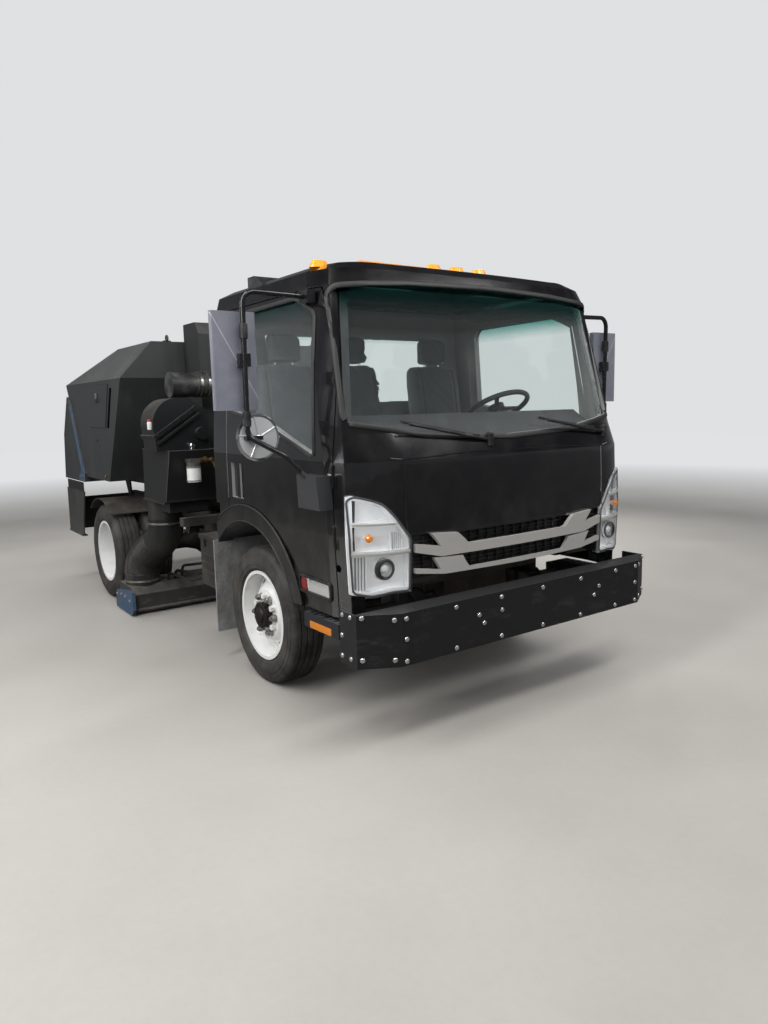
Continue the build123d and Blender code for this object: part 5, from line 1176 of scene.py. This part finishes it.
for place in (spot(-830, 1830, 745), spot(-950, 2125, duct_foot + 31)):
    clasps.append(lathe(BAND, place, UP, 72))
    corner = place + Vector((-0.035, -BAND_RADIUS - 0.012, -0.009))
    clasps.append(block(corner, corner + Vector((0.05, 0.016, 0.018)), 0.003))
    clasps.append(lathe(stub(0.007, 0.010), corner + Vector((0.05, 0.007, 0.009)), LEFT, 6))
fitted("hose_clamps", clasps, band_steel, "chassis")

# Hydraulics: a painted valve block bolted to the right rail with four solenoids and ports, and
# rubber hoses from it, clipped along the frame and the module.
valve_blue = worn_black("valve_paint", (0.020, 0.030, 0.050), 0.45, 0.8, 0.2, "blue_paint")
SOLENOID = ((0.0, 0.0), (0.019, 0.0), (0.019, 0.03), (0.014, 0.034), (0.014, 0.07), (0.0, 0.07))
VALVES_OUT, VALVES_IN, VALVES_TOP, PORT_X, SOLENOID_Z = -560, -424.5, 640, -515, 600
PORTS = (1007, 1052, 1097, 1142)
valves = [block(spot(VALVES_OUT, 985, 500), spot(VALVES_IN, 1165, VALVES_TOP), 0.006)]
for y in PORTS:
    valves.append(lathe(SOLENOID, spot(VALVES_OUT, y, SOLENOID_Z), -LEFT, 24))
    valves.append(lathe(stub(0.015, 0.022), spot(PORT_X, y, VALVES_TOP), UP, 6))
fitted("valve_block", valves, valve_blue, "chassis")
plate_white = gloss_of("blank_label", (0.62, 0.62, 0.60), 0.5, slot="black_plastic")
boxed("valve_label", spot(-633, 1040, 596), spot(-630, 1075, 640), plate_white, "chassis", 0.001)
# Each hose: its radius and the corners of its route
HOSE_ROUTES = (
    (0.0115, (-515, 1007, 655), (-530, 1000, 740), (-620, 1100, 815), (-640, 1182, 820)),
    (0.0115, (-515, 1052, 655), (-540, 1060, 740), (-560, 1330, 700), (-600, 1600, 420), (-640, 2050, 330),
     (-640, 2070, 224)),
    (0.0115, (-515, 1097, 655), (-545, 1110, 720), (-600, 1300, 560), (-650, 1600, 340), (-700, 2045, 300),
     (-700, 2070, 224)),
    (0.0115, (-515, 1142, 655), (-520, 1160, 740), (-470, 1300, 705), (-445, 2200, 700), (-445, 2600, 700),
     (-424, 2650, 700)),
    (0.0115, (-600, 1007, 600), (-660, 1010, 560), (-670, 1120, 430), (-740, 1600, 300), (-760, 2040, 290),
     (-760, 2070, 224)),
    (0.008, (-570, 1400, 1735), (-560, 1300, 1560), (-585, 1290, 1330), (-600, 1290, 1180)),
    (0.008, (-540, 1420, 1720), (-520, 1330, 1500), (-545, 1300, 1340), (-580, 1450, 1000)))
hoses = [tube(bent([spot(*place) for place in route], 0.09, 8), radius, 12) for radius, *route in HOSE_ROUTES]
fitted("hydraulic_hoses", hoses, seal_rubber, "chassis")

# Sweep head: thick plate with a rolled edge, rubbed bare where it meets the road, and two blue
# wear shoes bolted to its ends.
head = Paint("sweep_head_paint")
crust = head.patches(0.25, 0.62, 5, 8, 0.75)
near_road = head.spread(head.place("Z"), 0.17, 0.02)
rubbed = head.patches(0.56, 0.70, 18, 6, 0.7, (0.3, 1, 1)) * near_road
caked = (crust * (head.facing_up() * 0.75 + 0.22)).clamp()
bare_plate = head.blend(rubbed, (0.020, 0.020, 0.020), (0.20, 0.19, 0.18))
coat("sweep_head", head.finish(
    Base_Color=head.blend(caked, bare_plate, (0.150, 0.140, 0.122)), Metallic=rubbed * 0.6,
    Roughness=0.46 + caked * 0.4, Normal=head.pitted(0.0025, 26, 6, 0.7)))
shoe = Paint("shoe_blue", "blue_paint")
chipped = shoe.blend(shoe.patches(0.50, 0.58, 16, 8, 0.8) * 0.7, (0.035, 0.085, 0.170),
                     (0.10, 0.095, 0.09))
mud = shoe.patches(0.42, 0.75, 5, 6, 0.7) * 0.6
shoe_blue = shoe.finish(Base_Color=shoe.blend(mud, chipped, (0.12, 0.11, 0.095)),
                        Roughness=0.5 + mud * 0.3, Normal=shoe.pitted(0.0015, 40, 5, 0.7))
coat("head_skids", shoe_blue)
low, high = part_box("head_skids")
# Each bolt's place as shares of the shoe's length and height
SHOE_BOLTS = ((0.14, 0.62), (0.40, 0.70), (0.62, 0.70), (0.86, 0.62))
nuts = []
for x, out in ((low.x, -LEFT), (high.x, LEFT)):
    for share, rise in SHOE_BOLTS:
        place = Vector((x, low.y + share * (high.y - low.y), low.z + rise * (high.z - low.z)))
        nuts.append(lathe(stub(0.013, 0.011, 0.004, 0.002), place, out, 6))
fitted("shoe_bolts", nuts, bright_bolts, "chassis")

# Rear guards: thin hoods over the twin wheels, moulded in a dull rubbery plastic under road dirt.
# Two struts hold each one off the frame's rail.
coat("rear_guards", dull_black("guard_rubber", (0.018, 0.018, 0.018), 0.9, 0.7, 0.5, 1.2))

# Hopper: seam-welded sheet in satin charcoal, dusty where it faces up and streaked by rain, with
# blue gate arms and a chromed lift rod.
sheet = Paint("hopper_charcoal")
top_dust = sheet.facing_up() * (0.30 + 0.5 * sheet.patches(0.3, 0.75, 3, 7, 0.7))
rain = sheet.patches(0.48, 0.75, 5, 6, 0.7, (1, 1, 0.12)) * 0.22
veil = (rain + road_dirt(sheet, 0.4, 1.15, 0.55)).clamp()
dusted = sheet.blend(top_dust, (0.027, 0.029, 0.029), (0.125, 0.125, 0.122))
orange_peel = sheet.pitted(0.0004, 60, 4, 0.6)
coat("hopper tailgate rear_skirts", sheet.finish(
    Base_Color=sheet.blend(veil, dusted, (0.10, 0.098, 0.09)), Roughness=0.40 + top_dust * 0.3 + veil * 0.3,
    Normal=sheet.bump(sheet.noise(2.2, 2, 0.5), 0.010, 0.5, orange_peel)))
coat("ram_barrel", dull_black("ram_paint", (0.016, 0.016, 0.017), 0.5, 0.45, 0.4, 1.3))
coat("ram_rod", chrome)


def slab(outline, x_in, x_out):
    """Points and faces of a flat plate whose side outline (y, z) is in millimetres."""
    count = len(outline)
    points = [spot(x, y, z) for x in (x_in, x_out) for y, z in outline]
    return points, ends(2, count) + net(2, count, False, True)


# Side outlines (y, z) in millimetres
ARM_OUTLINE = ((3558, 1726), (3618, 1726), (3299, 1047), (3209, 1047))
ARM_FOOT = ((3194, 1057), (3378, 1057), (3417, 989), (3208, 989))
WALL_X, BAR_X, FOOT_X = 1066, 1074.5, 1078
ARM_BOLTS = ((BAR_X, 3570, 1700), (FOOT_X, 3260, 1024), (FOOT_X, 3345, 1024))
for side, way in SIDES:
    arm = [slab(ARM_OUTLINE, way * WALL_X, way * BAR_X), slab(ARM_FOOT, way * WALL_X, way * FOOT_X)]
    fitted(f"gate_arm_{side}", arm, shoe_blue, "hopper")
    studs = [lathe(stub(0.015, 0.012, 0.004, 0.002), spot(way * x, y, z), LEFT * way, 6)
             for x, y, z in ARM_BOLTS]
    fitted(f"gate_arm_bolts_{side}", studs, zinc_nuts, "hopper")

# Hatch: a door in the hopper's right side, closed on a rubber seal by a steel latch with a plastic
# grip. The drain below it has a brass plug.
boxed("hatch_latch", spot(-1084, 2618, 1722), spot(-1074, 2650, 1768), band_steel, "hopper")
boxed("hatch_latch_grip", spot(-1084, 2620, 1692), spot(-1075, 2648, 1714), black_plastic, "hopper", 0.003)
HATCH_X = -1061
HATCH_EDGE = [(2.925, 1.835), (2.325, 1.835), (2.470, 1.483), (2.925, 1.483)]
edge = even(HATCH_EDGE, LAY_STEP, True)
seal_run = [spot(HATCH_X, y * 1000, z * 1000) for y, z in edge + edge[:1]]
fitted("hatch_seal", [tube(seal_run, 0.004, 8)], seal_rubber, "hopper")
turned("drain_plug", stub(0.016, 0.016, 0.006, 0.004), spot(-1060, 2560, 1075), -LEFT, 6, brass, "hopper")

# Rear skirt: a red and an amber lamp on each side, and rubber flaps that close the space between
# the skirts and the hopper's gate.
LAMP_DOME = ((0.0, 0.017), (0.018, 0.016), (0.034, 0.012), (0.044, 0.005), (0.048, 0.0))
SKIRT_FACE, REAR_LAMP_Z = 4142, 600
for kind, x, material in (("stop", 740, red_lens), ("turn", 880, amber_glass)):
    for side, way in SIDES:
        place = spot(way * x, SKIRT_FACE, REAR_LAMP_Z)
        turned(f"rear_{kind}_{side}", LAMP_DOME, place, BACK, 48, material, "chassis")
skirt_low, skirt_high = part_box("rear_skirts")
FLAP_IN, FLAP_OUT = 1.0235, 1.0285
flap_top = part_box("tailgate")[0].z - 0.008
for side, way in SIDES:
    inner, outer = sorted((way * FLAP_IN, way * FLAP_OUT))
    boxed(f"skirt_flap_{side}", (inner, skirt_low.y + 0.01, skirt_high.z - 0.015),
          (outer, skirt_high.y - 0.06, flap_top), seal_rubber, "chassis", 0.002)
